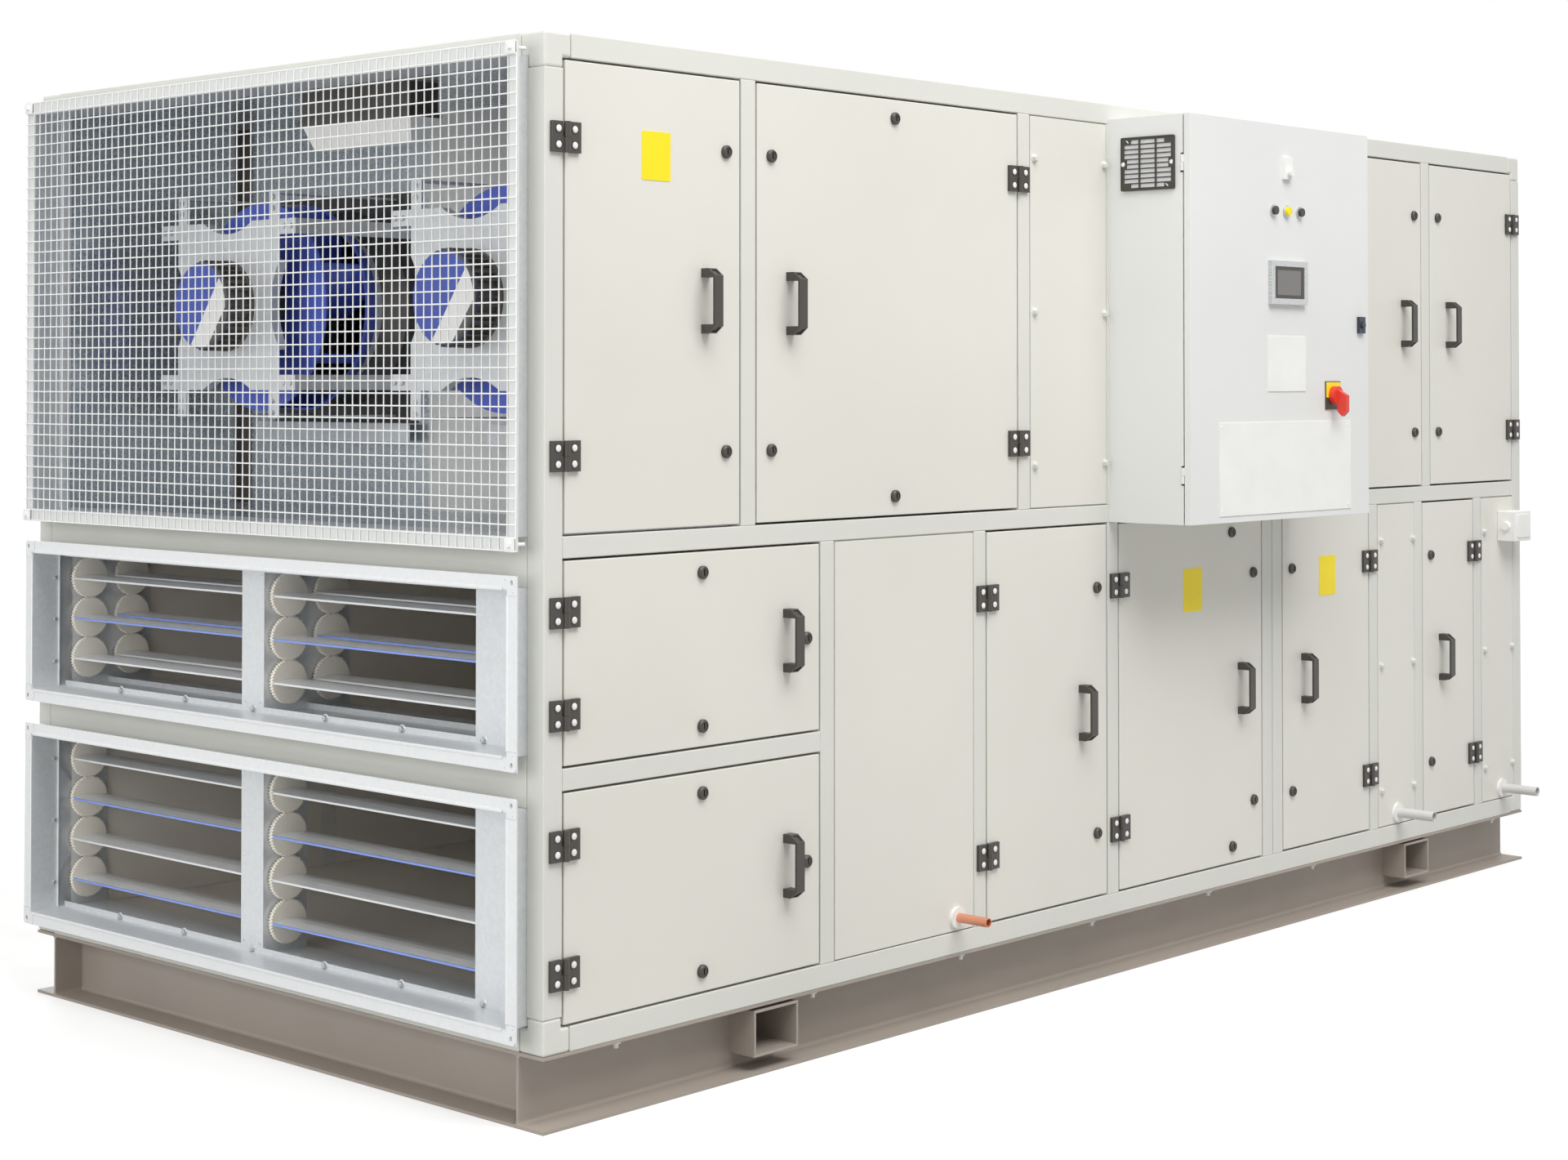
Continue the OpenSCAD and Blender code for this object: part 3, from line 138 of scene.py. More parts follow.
class Shader:
    """A material made of nodes, with textures placed by object coordinates."""

    def __init__(self, name, colour, rough, metal=0.0):
        self.material = bpy.data.materials.new(name)
        self.material.use_nodes = True
        self.material.diffuse_color = colour
        self.tree = self.material.node_tree
        self.links = self.tree.links
        self.bsdf = self.tree.nodes["Principled BSDF"]
        self.bsdf.inputs["Base Color"].default_value = colour
        self.bsdf.inputs["Roughness"].default_value = rough
        self.bsdf.inputs["Metallic"].default_value = metal
        self.place = self.add("ShaderNodeTexCoord").outputs["Object"]

    def add(self, kind, **values):
        """A new node with some of its settings."""
        node = self.tree.nodes.new(kind)
        for key, value in values.items():
            setattr(node, key, value)
        return node

    def noise(self, scale, detail, stretch=(1, 1, 1)):
        """Smooth noise with so many waves to the metre."""
        mapping = self.add("ShaderNodeMapping")
        mapping.inputs["Scale"].default_value = stretch
        self.links.new(self.place, mapping.inputs["Vector"])
        node = self.add("ShaderNodeTexNoise")
        node.inputs["Scale"].default_value = scale
        node.inputs["Detail"].default_value = detail
        self.links.new(mapping.outputs["Vector"], node.inputs["Vector"])
        return node.outputs["Fac"]

    def cells(self, scale):
        """Crystal-like cells, each with a tone of its own."""
        node = self.add("ShaderNodeTexVoronoi")
        node.inputs["Scale"].default_value = scale
        self.links.new(self.place, node.inputs["Vector"])
        grey = self.add("ShaderNodeSeparateColor")
        self.links.new(node.outputs["Color"], grey.inputs["Color"])
        return grey.outputs["Red"]

    def spread(self, fac, low, high, start=0.3, end=0.7):
        """A texture value stretched between two other values."""
        node = self.add("ShaderNodeMapRange")
        for key, value in zip(("From Min", "From Max", "To Min", "To Max"), (start, end, low, high)):
            node.inputs[key].default_value = value
        self.links.new(fac, node.inputs["Value"])
        return node.outputs["Result"]

    def mix(self, fac, a, b):
        """A colour between two others."""
        node = self.add("ShaderNodeMix", data_type="RGBA")
        self.links.new(fac, node.inputs["Factor"])
        for value, name in ((a, "A"), (b, "B")):
            socket = [s for s in node.inputs if s.name == name and s.type == "RGBA"][0]
            socket.default_value = value
        return [s for s in node.outputs if s.type == "RGBA"][0]

    def colour(self, output):
        self.links.new(output, self.bsdf.inputs["Base Color"])

    def rough(self, output):
        self.links.new(output, self.bsdf.inputs["Roughness"])

    def bump(self, fac, depth):
        node = self.add("ShaderNodeBump")
        node.inputs["Strength"].default_value = 1.0
        node.inputs["Distance"].default_value = depth
        self.links.new(fac, node.inputs["Height"])
        self.links.new(node.outputs["Normal"], self.bsdf.inputs["Normal"])


def shade(colour, factor):
    """A colour made darker or lighter."""
    return tuple(c * factor for c in colour[:3]) + (1,)


def paint(name, colour, rough=0.42, drift=0.05, grain=0.00004, grain_scale=900):
    """Sprayed or coated paint: slow drifts of tone, uneven gloss and a fine orange peel."""
    s = Shader(name, colour, rough)
    slow = s.spread(s.noise(scale=1.1, detail=5), 0, 1)
    s.colour(s.mix(slow, shade(colour, 1 - drift), shade(colour, 1 + drift * 0.4)))
    s.rough(s.spread(s.noise(scale=7, detail=3), rough - 0.06, rough + 0.08))
    s.bump(s.noise(scale=grain_scale, detail=2), grain)
    return s


def spangle(name, colour, rough=0.38, metal=0.75, drift=0.14):
    """Hot-dip galvanised sheet with its crystal pattern."""
    s = Shader(name, colour, rough, metal)
    crystal = s.cells(scale=110)
    tone = s.spread(crystal, 0, 1, start=0, end=1)
    s.colour(s.mix(tone, shade(colour, 1 - drift), shade(colour, 1 + drift * 0.3)))
    s.rough(s.spread(crystal, rough - drift * 0.5, rough + drift * 0.6, start=0, end=1))
    s.bump(s.noise(scale=160, detail=3), 0.00006)
    return s


def plastic(name, colour, rough=0.45, grain=0.00005):
    """Moulded plastic with a fine grain."""
    s = Shader(name, colour, rough)
    tone = s.spread(s.noise(scale=9, detail=5), 0, 1)
    s.colour(s.mix(tone, shade(colour, 0.965), shade(colour, 1.02)))
    s.rough(s.spread(s.noise(scale=60, detail=3), rough - 0.05, rough + 0.07))
    s.bump(s.noise(scale=1400, detail=2), grain)
    return s


def drawn(name, colour, rough=0.3, metal=0.9):
    """Drawn or rolled metal with fine lines from front to back."""
    s = Shader(name, colour, rough, metal)
    lines = s.noise(scale=900, detail=2, stretch=(1, 0.02, 1))
    s.colour(s.mix(s.spread(lines, 0, 1), shade(colour, 0.86), shade(colour, 1.06)))
    s.rough(s.spread(lines, rough - 0.07, rough + 0.1))
    s.bump(lines, 0.00002)
    return s


MATERIALS = {
    "panel": paint("panel_paint", PANEL),
    "frame": paint("frame_paint", FRAME, rough=0.48),
    "cabinet": paint("cabinet_paint", CABINET, rough=0.4, grain=0.00008, grain_scale=600),
    "base": paint("base_paint", BASE, rough=0.5, drift=0.12, grain=0.0001, grain_scale=300),
    "galvanised": spangle("galvanised_steel", GALVANISED, rough=0.36, metal=0.28, drift=0.05),
    "aluminium": drawn("blade_aluminium", ALUMINIUM, rough=0.38, metal=0.3),
    "wire": paint("white_wire", WHITE_WIRE, rough=0.35, drift=0.03),
    "white": plastic("white_plastic", WHITE_PLASTIC, rough=0.4),
    "black": plastic("black_plastic", BLACK, rough=0.42),
    "hinge": plastic("hinge_plastic", HINGE_BROWN, rough=0.5),
    "blue": paint("blue_paint", BLUE, rough=0.38, drift=0.1),
    "impeller": paint("impeller_blue", IMPELLER_BLUE, rough=0.42, drift=0.08),
    "cream": plastic("cream_nylon", CREAM, rough=0.4),
    "copper": drawn("copper", COPPER, rough=0.38, metal=0.6),
    "grey": plastic("grey_plastic", GREY_PLASTIC, rough=0.45),
    "red": plastic("red_plastic", RED, rough=0.38),
    "inner": spangle("inner_sheet", INNER, rough=0.26, metal=0.55, drift=0.05),
    "lining": paint("inner_lining", LINING, rough=0.5, drift=0.1),
    "sheet": spangle("wall_sheet", SHEET, rough=0.4, metal=0.15, drift=0.04),
    "strip": paint("guard_strip", STRIP, rough=0.4, drift=0.03),
    "gap": plastic("dark_profile", DARK_PROFILE, rough=0.5),
    "yellow": plastic("yellow_plate", YELLOW, rough=0.42),
    "bright": spangle("bright_galvanised", BRIGHT, rough=0.4, metal=0.2, drift=0.025),
    # Inlet cones: galvanised steel painted dark as shade around the fans
    "painted_shade_steel": spangle("galvanised_painted_shade", PAINTED_SHADE_STEEL, rough=0.4, metal=0.7),
    "zinc": drawn("zinc_plated", ZINC, rough=0.3, metal=0.8),
    "cast": plastic("cast_aluminium", CAST, rough=0.5, grain=0.0001),
    "silver": drawn("silver_trim", SILVER, rough=0.3, metal=0.6),
    "dark_cap": plastic("dark_cap", DARK_CAP, rough=0.35),
    "lock": plastic("lock_plastic", LOCK, rough=0.4),
    "mat": plastic("filter_mat", MAT, rough=0.8, grain=0.0003),
    "seal": plastic("blue_seal", SEAL, rough=0.5),
    "screen": plastic("screen_glass", SCREEN, rough=0.2, grain=0.000005),
}


# Finishes of CAD nodes that have only one


def wear(name, key):
    """Gives a CAD node its finish."""
    mesh = nodes[name].data
    mesh.materials.clear()
    mesh.materials.append(MATERIALS[key].material)


FINISH = {
    "frame": ["corner_pieces", "posts", "frame_rails"],
    "base": ["base_frame", "lifting_tubes"],
    "cabinet": ["control_cabinet", "control_door"],
    "galvanised": DAMPER_NODES + ["fan_brackets"],
    "wire": ["guard_wires_upright", "guard_wires_level", "guard_corner_clips"],
    "inner": ["fan_wall"],
    "impeller": ["impeller_front", "impeller_back"],
    "black": ["cabinet_vent", "hinge_leaves"] + FITTING_NODES,
    "white": ["junction_box", "drain_rosettes"],
    "copper": ["copper_drain"],
    "grey": ["grey_drains"],
    "red": ["switch_handle"],
}
for finish, names in FINISH.items():
    for name in names:
        wear(name, finish)


# Finishes of CAD nodes that have more than one, picked face by face in cabinet millimetres


def dress(name, rule):
    """Gives each face of a CAD node the finish that a rule picks from its middle and its direction."""
    mesh = nodes[name].data
    keys = []
    mesh.materials.clear()
    for polygon in mesh.polygons:
        key = rule(in_mm(polygon.center), polygon.normal)
        if key not in keys:
            keys.append(key)
            mesh.materials.append(MATERIALS[key].material)
        polygon.material_index = keys.index(key)


def within(value, bands):
    """Whether a value lies in one of some bands."""
    return any(low < value < high for low, high in bands)


# Where the blades and gears of both halves of a damper lie from front to back
BLADE_BANDS = ((254, 952), (1054, 1751))
GEAR_BANDS = ((952, 964), (1751, 1763))
BLADE_REACH, BLADE_HALF, GEAR_REACH = 47, 9, 50
INNER_SHAFT = in_mm(middle("inner_damper")).x
INNER_ROWS = [in_mm(middle("upper_blades_%d" % i)).z for i in (1, 2, 3)]

# How far a face's normal has to lean one way to count as facing it
FACING = 0.9

# How deep the inner skins lie, and the deck between the two rows of the cabinet
SKIN_DEPTH = 40
INNER_FACE = in_mm(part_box("door_u1")[1]).y - 1
DECK_MIDDLE = in_mm(middle("middle_deck")).z

# Where the finish changes along a motor, a lamp, the guard's sleeve and an inlet cone
CAP_END = in_mm(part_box("fan_motors")[0]).x + 12.5
LENS_TOP = in_mm(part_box("fan_lamp")[0]).z + 55
RIM_END = in_mm(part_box("guard_sleeve")[0]).x + 3.5
CONE_RIM_END = in_mm(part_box("inlet_cones")[0]).x + 40

# Fittings of the control cabinet: their column, heights over the door's lower edge and reach from the column
CONTROL_DOOR = in_mm(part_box("control_door")[0])
CONTROL_COLUMN = in_mm(middle("control_door")).x + 15
SIGN_TOP, SCREEN_BOTTOM, BUTTON_BOTTOM, BUTTON_TOP = 255, 540, 760, 860
BUTTON_REACH, PLATE_REACH, LOCK_REACH = 20, 105, 315
TRIM_RING = 4.5


def motor_rule(p, normal):
    """Blue cap faces on dark motors."""
    return "blue" if p.x < CAP_END and -normal.x > FACING else "cast"


def lamp_rule(p, normal):
    """A white lens under a black body."""
    return "black" if p.z > LENS_TOP else "white"


def guard_rule(p, normal):
    """A painted rim on a galvanised sleeve."""
    return "strip" if p.x < RIM_END else "galvanised"


def blade_rule(p, normal):
    """Nylon gears on aluminium blades."""
    return "cream" if within(p.y, GEAR_BANDS) else "aluminium"


def inner_damper_rule(p, normal):
    """The fixed damper behind the upper one: gears, blades and a galvanised frame."""
    off_shaft = abs(p.x - INNER_SHAFT)
    off_row = min(abs(p.z - z) for z in INNER_ROWS)
    if within(p.y, GEAR_BANDS) and off_shaft < GEAR_REACH:
        return "cream"
    blade = within(p.y, BLADE_BANDS) and off_shaft < BLADE_REACH and off_row < BLADE_HALF
    return "aluminium" if blade else "galvanised"


def wall_rule(p, normal):
    """Paint outside, bare sheet in the upper row and a pale lining in the lower one."""
    inside = all(SKIN_DEPTH < p[i] < SIZE[i] - SKIN_DEPTH for i in range(3))
    if not inside:
        return "panel"
    return "inner" if p.z > DECK_MIDDLE else "lining"


def deck_rule(p, normal):
    """Bare sheet above and the pale lining below."""
    return "lining" if -normal.z > FACING else "inner"


def front_rule(p, normal):
    """Doors and fixed panels: paint outside, bare sheet inside."""
    return "inner" if p.y > INNER_FACE else "panel"


def control_rule(p, normal):
    """White toggle above and sign below; buttons, screen, plate, switch field and lock between them."""
    height, across = p.z - CONTROL_DOOR.z, p.x - CONTROL_COLUMN
    if height > BUTTON_TOP or height < SIGN_TOP:
        return "white"
    if height > BUTTON_BOTTOM:
        cap = "yellow" if abs(across) < BUTTON_REACH else "dark_cap"
        return "silver" if p.y > CONTROL_DOOR.y - TRIM_RING else cap
    if height > SCREEN_BOTTOM:
        return "silver"
    if across > LOCK_REACH:
        return "lock"
    return "white" if across < PLATE_REACH else "black"


def cone_rule(p, normal):
    """A bright rim on a cone painted dark for the shade around the fans."""
    return "bright" if p.x < CONE_RIM_END else "painted_shade_steel"


RULES = {
    "fan_motors": motor_rule,
    "middle_deck": deck_rule,
    "fan_lamp": lamp_rule,
    "guard_sleeve": guard_rule,
    "inner_damper": inner_damper_rule,
    "wall_panels": wall_rule,
    "front_fixed_panels": front_rule,
    "control_fittings": control_rule,
    "inlet_cones": cone_rule,
}
RULES.update({name: front_rule for name in DOOR_NODES})
RULES.update({name: blade_rule for name in BLADE_NODES})
for name, rule in RULES.items():
    dress(name, rule)


# Rounded edges of CAD nodes

EDGE_ANGLE = math.radians(40)
SMOOTH_ANGLE = math.radians(35)


def round_edges(thing, width, segments=2):
    """A bevel on the sharp edges of an object."""
    bevel = thing.modifiers.new("edges", "BEVEL")
    bevel.width = width
    bevel.segments = segments
    bevel.limit_method = "ANGLE"
    bevel.angle_limit = EDGE_ANGLE


def soften(name, width, segments):
    """Rounds the sharp edges of a CAD node without touching its mesh."""
    node = nodes[name]
    weld = node.modifiers.new("weld", "WELD")
    weld.merge_threshold = 0.00001
    flat = node.modifiers.new("flat", "DECIMATE")
    flat.decimate_type = "DISSOLVE"
    flat.angle_limit = math.radians(0.5)
    round_edges(node, width, segments)
    normals = node.modifiers.new("normals", "WEIGHTED_NORMAL")
    normals.keep_sharp = True


# By the width of the rounding and the number of its steps
EDGES = {
    (0.0060, 3): ["corner_pieces", "junction_box"],
    (0.0030, 2): ["control_door"],
    (0.0025, 2): ["switch_handle"],
    (0.0020, 2): ["posts", "frame_rails", "control_cabinet"] + DOOR_NODES,
    (0.0015, 2): ["base_frame", "lifting_tubes"],
    (0.0012, 2): ["hinge_leaves"] + FITTING_NODES,
    (0.0010, 2): ["front_fixed_panels"],
    (0.0008, 2): ["control_fittings"],
}
for (width, segments), names in EDGES.items():
    for name in names:
        soften(name, width, segments)


# Shapes


def rounded(w, h, r, steps=5):
    """Outline of a rectangle with round corners."""
    points = []
    for k, (sx, sy) in enumerate(((1, 1), (-1, 1), (-1, -1), (1, -1))):
        for i in range(steps + 1):
            a = math.radians(90 * (k + i / steps))
            points.append((sx * (w / 2 - r) + r * math.cos(a), sy * (h / 2 - r) + r * math.sin(a)))
    return points


def ring(rx, ry, steps=20, start=0, end=360):
    """Outline of an ellipse, or of the part of it between two angles."""
    whole = end - start == 360
    count = steps if whole else steps + 1
    angles = [math.radians(start + (end - start) * i / steps) for i in range(count)]
    return [(rx * math.cos(a), ry * math.sin(a)) for a in angles]


def hole(outline, a=0, b=0):
    """An outline as a hole in a plate, moved to its place."""
    return [(a + p, b + q) for p, q in reversed(outline)]


def frame_of(axis):
    """Three right-angled directions, the first of them along an axis."""
    axis = Vector(axis).normalized()
    side = axis.orthogonal().normalized()
    return axis, side, axis.cross(side)


class Piece:
    """Collects faces in the row frame, makes one mesh of them and hangs it on a body."""

    def __init__(self, name, body="unit"):
        self.name, self.body = name, body
        self.points, self.faces, self.keys = [], [], []

    def add(self, points, faces, key):
        """More points, and faces between them in one finish."""
        start = len(self.points)
        self.points += [Vector(p) for p in points]
        self.faces += [[start + i for i in face] for face in faces]
        self.keys += [key] * len(faces)

    def box(self, lo, hi, key):
        """A straight bar or sheet between two corners."""
        corners = [(x, y, z) for x in (lo[0], hi[0]) for y in (lo[1], hi[1]) for z in (lo[2], hi[2])]
        sides = [(0, 1, 3, 2), (4, 6, 7, 5), (0, 4, 5, 1), (2, 3, 7, 6), (0, 2, 6, 4), (1, 5, 7, 3)]
        self.add(corners, sides, key)

    def slab(self, loops, origin, across, up, depth, key):
        """A plate with an outline and perhaps holes, laid in two directions and drawn out along a third."""
        near = [origin + across * a + up * b for loop in loops for a, b in loop]
        count = len(near)
        flat = [[Vector((a, b, 0)) for a, b in loop] for loop in loops]
        caps = [tuple(t) for t in tessellate_polygon(flat)]
        faces = caps + [tuple(i + count for i in reversed(t)) for t in caps]
        start = 0
        for loop in loops:
            edge = list(range(start, start + len(loop)))
            faces += [(i, j, j + count, i + count) for i, j in zip(edge, edge[1:] + edge[:1])]
            start += len(loop)
        self.add(near + [p + depth for p in near], faces, key)

    def turned(self, centre, axis, profile, key, sides=20):
        """A round shape: (radius, height) points turned about an axis."""
        along, side, other = frame_of(axis)
        angles = [2 * math.pi * i / sides for i in range(sides)]
        points = [centre + along * h + side * r * math.cos(a) + other * r * math.sin(a)
                  for r, h in profile for a in angles]
        faces = []
        for k in range(len(profile) - 1):
            for i in range(sides):
                j = (i + 1) % sides
                faces.append((k * sides + i, k * sides + j, (k + 1) * sides + j, (k + 1) * sides + i))
        last = (len(profile) - 1) * sides
        faces.append(tuple(range(sides)))
        faces.append(tuple(range(last + sides - 1, last - 1, -1)))
        self.add(points, faces, key)

    def make(self, bevel=0.0):
        """The finished object, riding on its body."""
        mesh = bpy.data.meshes.new(self.name)
        mesh.from_pydata(self.points, [], self.faces)
        keys = sorted(set(self.keys))
        for key in keys:
            mesh.materials.append(MATERIALS[key].material)
        for polygon, key in zip(mesh.polygons, self.keys):
            polygon.material_index = keys.index(key)
        shape = bmesh.new()
        shape.from_mesh(mesh)
        bmesh.ops.recalc_face_normals(shape, faces=shape.faces)
        shape.to_mesh(mesh)
        shape.free()
        mesh.shade_smooth()
        mesh.set_sharp_from_angle(angle=SMOOTH_ANGLE)
        piece = bpy.data.objects.new(self.name, mesh)
        bpy.context.scene.collection.objects.link(piece)
        if bevel:
            round_edges(piece, bevel)
        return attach(piece, self.body)


def solids(name):
    """Lowest and highest corners of the separate solids in a CAD node."""
    mesh = nodes[name].data
    spots = [tuple(round(c, 5) for c in v.co) for v in mesh.vertices]
    parent = {spot: spot for spot in spots}

    def root(spot):
        while parent[spot] != spot:
            parent[spot] = parent[parent[spot]]
            spot = parent[spot]
        return spot

    for edge in mesh.edges:
        a, b = (root(spots[i]) for i in edge.vertices)
        parent[a] = b
    groups = {}
    for spot in parent:
        groups.setdefault(root(spot), []).append(spot)
    return [(Vector(map(min, zip(*g))), Vector(map(max, zip(*g)))) for g in groups.values()]


# Doors and front


def head(piece, spot, out, radius, height, key, sides=20):
    """A screw, rivet or bolt head on a surface. Six sides make a hexagon."""
    sunk = 0.0005
    profile = [(1, 0), (1, 0.6), (0.82, 1), (0.3, 1.08)]
    piece.turned(spot - out * sunk, out, [(radius * r, height * h) for r, h in profile], key, sides)


def screw_in_ring(piece, spot, out):
    """A pale screw cap inside the raised ring of a hinge leaf."""
    sunk, cap_r, cap_h = 0.0005, 0.0070, 0.0022
    rim = [(0.0098, 0), (0.0094, 0.0014), (0.0082, 0.0015), (0.0078, 0.0004)]
    piece.turned(spot - out * sunk, out, rim, "hinge")
    head(piece, spot, out, cap_r, cap_h, "white")


def hinge_screws():
    """Two screws on every hinge leaf, fixed or moving. Leaves are known by their height."""
    leaf_t, reach, rise = 0.008, 0.022, 0.016
    shortest, tallest = 0.05, 0.09
    owners = [("hinge_leaves", "unit")] + [("fittings_" + door, "leaf_" + door) for door in DOORS]
    for node, body in owners:
        piece = Piece("screws_" + body, body)
        for lo, hi in solids(node):
            if not shortest < hi.z - lo.z < tallest:
                continue
            centre = (lo + hi) / 2
            pin_x = min((pin.x for pin in pins), key=lambda x: abs(x - centre.x))
            side = 1 if centre.x > pin_x else -1
            for k in (-1, 1):
                spot = Vector((pin_x + side * reach, hi.y - leaf_t, centre.z + k * rise))
                screw_in_ring(piece, spot, FRONT)
        piece.make()


# Middle, width and height of the plain plates on three doors, in millimetres
YELLOW_PLATES = {"u1": (310, 1798, 83, 101), "l5": (2280, 789, 86, 112), "l6": (2950, 791, 86, 110)}


def yellow_plates():
    """Plain yellow plates on three doors."""
    thick, corner = 0.001, 0.004
    for door, (x, z, w, h) in YELLOW_PLATES.items():
        piece = Piece("yellow_plate_" + door, "leaf_" + door)
        piece.slab([rounded(w * MM, h * MM, corner)], at(x, 0, z), ALONG, UP, FRONT * thick, "yellow")
        piece.make()


def panel_bolts():
    """Bolts with washers down both sides of the narrow fixed panels, but not behind the control cabinet."""
    piece = Piece("panel_bolts")
    left, right, ends, widest = 0.018, 0.012, 0.105, 0.33
    washer_r, washer_h, bolt_r, bolt_h = 0.0115, 0.0022, 0.0088, 0.0085
    hidden_x, hidden_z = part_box("control_cabinet")[0].x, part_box("middle_deck")[0].z
    for lo, hi in solids("front_fixed_panels"):
        wide = hi.x - lo.x > widest
        hidden = lo.x > hidden_x and lo.z > hidden_z
        if wide or hidden:
            continue
        for x in (lo.x + left, hi.x - right):
            for z in (lo.z + ends, (lo.z + hi.z) / 2, hi.z - ends):
                spot = Vector((x, lo.y, z))
                head(piece, spot, FRONT, washer_r, washer_h, "frame", 24)
                head(piece, spot + FRONT * washer_h, FRONT, bolt_r, bolt_h, "frame", 6)
    piece.make()


def base_nuts():
    """Nuts under the top flange of the front beam, and a bolt end in each. Places in millimetres."""
    piece = Piece("base_nuts")
    end, first, pitch, count = 227, 827, 522, 7
    inset, flange = 30, 7
    washer = [(0.0135, 0), (0.0135, 0.0015), (0.013, 0.002)]
    nut = [(0.0105, 0), (0.0105, 0.0095), (0.009, 0.0105)]
    bolt = [(0.0055, 0), (0.0055, 0.0185), (0.0045, 0.0195)]
    for x in [end] + [first + i * pitch for i in range(count)]:
        for profile, sides in ((washer, 20), (nut, 6), (bolt, 12)):
            piece.turned(at(x, inset, -flange), -UP, profile, "white", sides)
    piece.make()


def box_details():
    """Raised lid of the junction box."""
    lo, hi = max(solids("junction_box"), key=lambda b: b[1].x - b[0].x)
    side, end, shift, rise, corner, bevel = 0.017, 0.011, 0.005, 0.0025, 0.006, 0.001
    lid = rounded(hi.x - lo.x - 2 * side, hi.z - lo.z - 2 * end, corner)
    centre = (lo + hi) / 2
    piece = Piece("junction_details")
    piece.slab([lid], Vector((centre.x + shift, lo.y, centre.z)), ALONG, UP, FRONT * rise, "white")
    piece.make(bevel)


# Control cabinet


def control_details():
    """Bezel and glass of the screen, the yellow field of the switch and the rivets of the sign plate."""
    lo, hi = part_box("control_door")
    column = at(x=CONTROL_COLUMN).x
    piece = Piece("control_details", "control_leaf")
    corner, bezel_t, glass_t = 0.002, 0.0006, 0.0003
    bezel, glass = rounded(0.142, 0.082, corner), rounded(0.112, 0.064, corner)
    screen_out, screen_z = 0.010, 0.606
    screen = Vector((column, lo.y - screen_out, lo.z + screen_z))
    piece.slab([bezel, hole(glass)], screen, ALONG, UP, FRONT * bezel_t, "black")
    piece.slab([glass], screen, ALONG, UP, FRONT * glass_t, "screen")
    field, field_t = rounded(0.070, 0.040, 0.003), 0.0006
    field_in, field_out, field_z = 0.186, 0.003, 0.3305
    spot = Vector((hi.x - field_in, lo.y - field_out, lo.z + field_z))
    piece.slab([field], spot, ALONG, UP, FRONT * field_t, "yellow")
    sign_out, sign_z = 0.002, 0.133
    rivet_x, rivet_z, rivet_r, rivet_h = 0.302, 0.105, 0.004, 0.0015
    sign = Vector((column, lo.y - sign_out, lo.z + sign_z))
    for i in (-1, 1):
        for k in (-1, 1):
            spot = sign + ALONG * i * rivet_x + UP * k * rivet_z
            head(piece, spot, FRONT, rivet_r, rivet_h, "white")
    piece.make()


def grille_slots(w, h):
    """Slots of the vent grille in three columns, shorter beside the catches and the screws."""
    rows, cols, side, end, bar, web, corner = 10, 3, 0.0085, 0.006, 0.0042, 0.0028, 0.001
    catch_cut, screw_cut = 0.45, 0.17
    col = (w - 2 * side - (cols - 1) * bar) / cols
    pitch = (h - 2 * end) / rows
    slots = []
    for c in range(cols):
        for r in range(rows):
            left, right = c * (col + bar), c * (col + bar) + col
            cut = catch_cut if r in (0, rows - 1) else screw_cut if r in (rows // 2 - 1, rows // 2) else 0
            left += cut * col if c == 0 else 0
            right -= cut * col if c == cols - 1 else 0
            a, b = (left + right) / 2 + side - w / 2, (r + 0.5) * pitch + end - h / 2
            slots.append(hole(rounded(right - left, pitch - web, corner, 2), a, b))
    return slots


def vent_grille():
    """Filter grille on the side of the control cabinet: slots over a white mat, screws and catches."""
    lo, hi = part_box("cabinet_vent")
    w, h = hi.y - lo.y, hi.z - lo.z
    face = middle("cabinet_vent") + END * (hi.x - lo.x) / 2
    recess, plate, wall, mat_gap, mat_t = 0.0015, 0.003, 0.0025, 0.0002, 0.002
    outer, inner = rounded(w, h, 0.004), rounded(w - 2 * wall, h - 2 * wall, 0.003)
    sunk = face + ALONG * recess
    piece = Piece("vent_grille")
    piece.slab([inner] + grille_slots(w, h), sunk, BACK, UP, ALONG * plate, "black")
    piece.slab([outer, hole(inner)], face, BACK, UP, ALONG * (hi.x - lo.x), "black")
    piece.slab([inner], sunk + ALONG * (plate + mat_gap), BACK, UP, ALONG * mat_t, "mat")
    screw_in, screw_r, screw_h = 0.0068, 0.0056, 0.0022
    catch_y, catch_z, catch_t, catch = 0.020, 0.011, 0.0012, rounded(0.009, 0.0024, 0.001, 2)
    slope = (BACK + UP).normalized()
    for k in (-1, 1):
        head(piece, sunk + BACK * k * (w / 2 - screw_in), END, screw_r, screw_h, "white")
        spot = sunk + BACK * k * (w / 2 - catch_y) + UP * k * (h / 2 - catch_z)
        piece.slab([catch], spot, slope, slope.cross(ALONG), END * catch_t, "white")
    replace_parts(piece.make(), "cabinet_vent")


def cabinet_gutter():
    """Folded rim round the mouth of the control cabinet, broken at the barrels of the door hinges."""
    bottom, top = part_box("control_door")[0].z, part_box("control_door")[1].z
    left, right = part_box("cabinet_vent")[1].x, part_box("control_cabinet")[1].x
    thick, inset = 0.003, 0.006
    back, front = at(y=-216).y, at(y=-223).y
    barrel, break_h = 0.121, 0.024
    piece = Piece("cabinet_gutter")
    marks = [bottom, bottom + barrel - break_h, bottom + barrel + break_h,
             top - barrel - break_h, top - barrel + break_h, top]
    for a, b in zip(marks[::2], marks[1::2]):
        piece.box((left, front, a), (left + thick, back, b), "cabinet")
    piece.box((right - thick, front, bottom), (right, back, top), "cabinet")
    for z in (bottom, top - thick):
        piece.box((left + inset, front, z), (right - thick, back, z + thick), "cabinet")
    piece.make()


# Damper end

# Gap between the trim and the inner faces of the front and back panels, in millimetres
TRIM_GAP = 2
SIDE_FACE = at(y=SIZE.y - WALL - TRIM_GAP).y


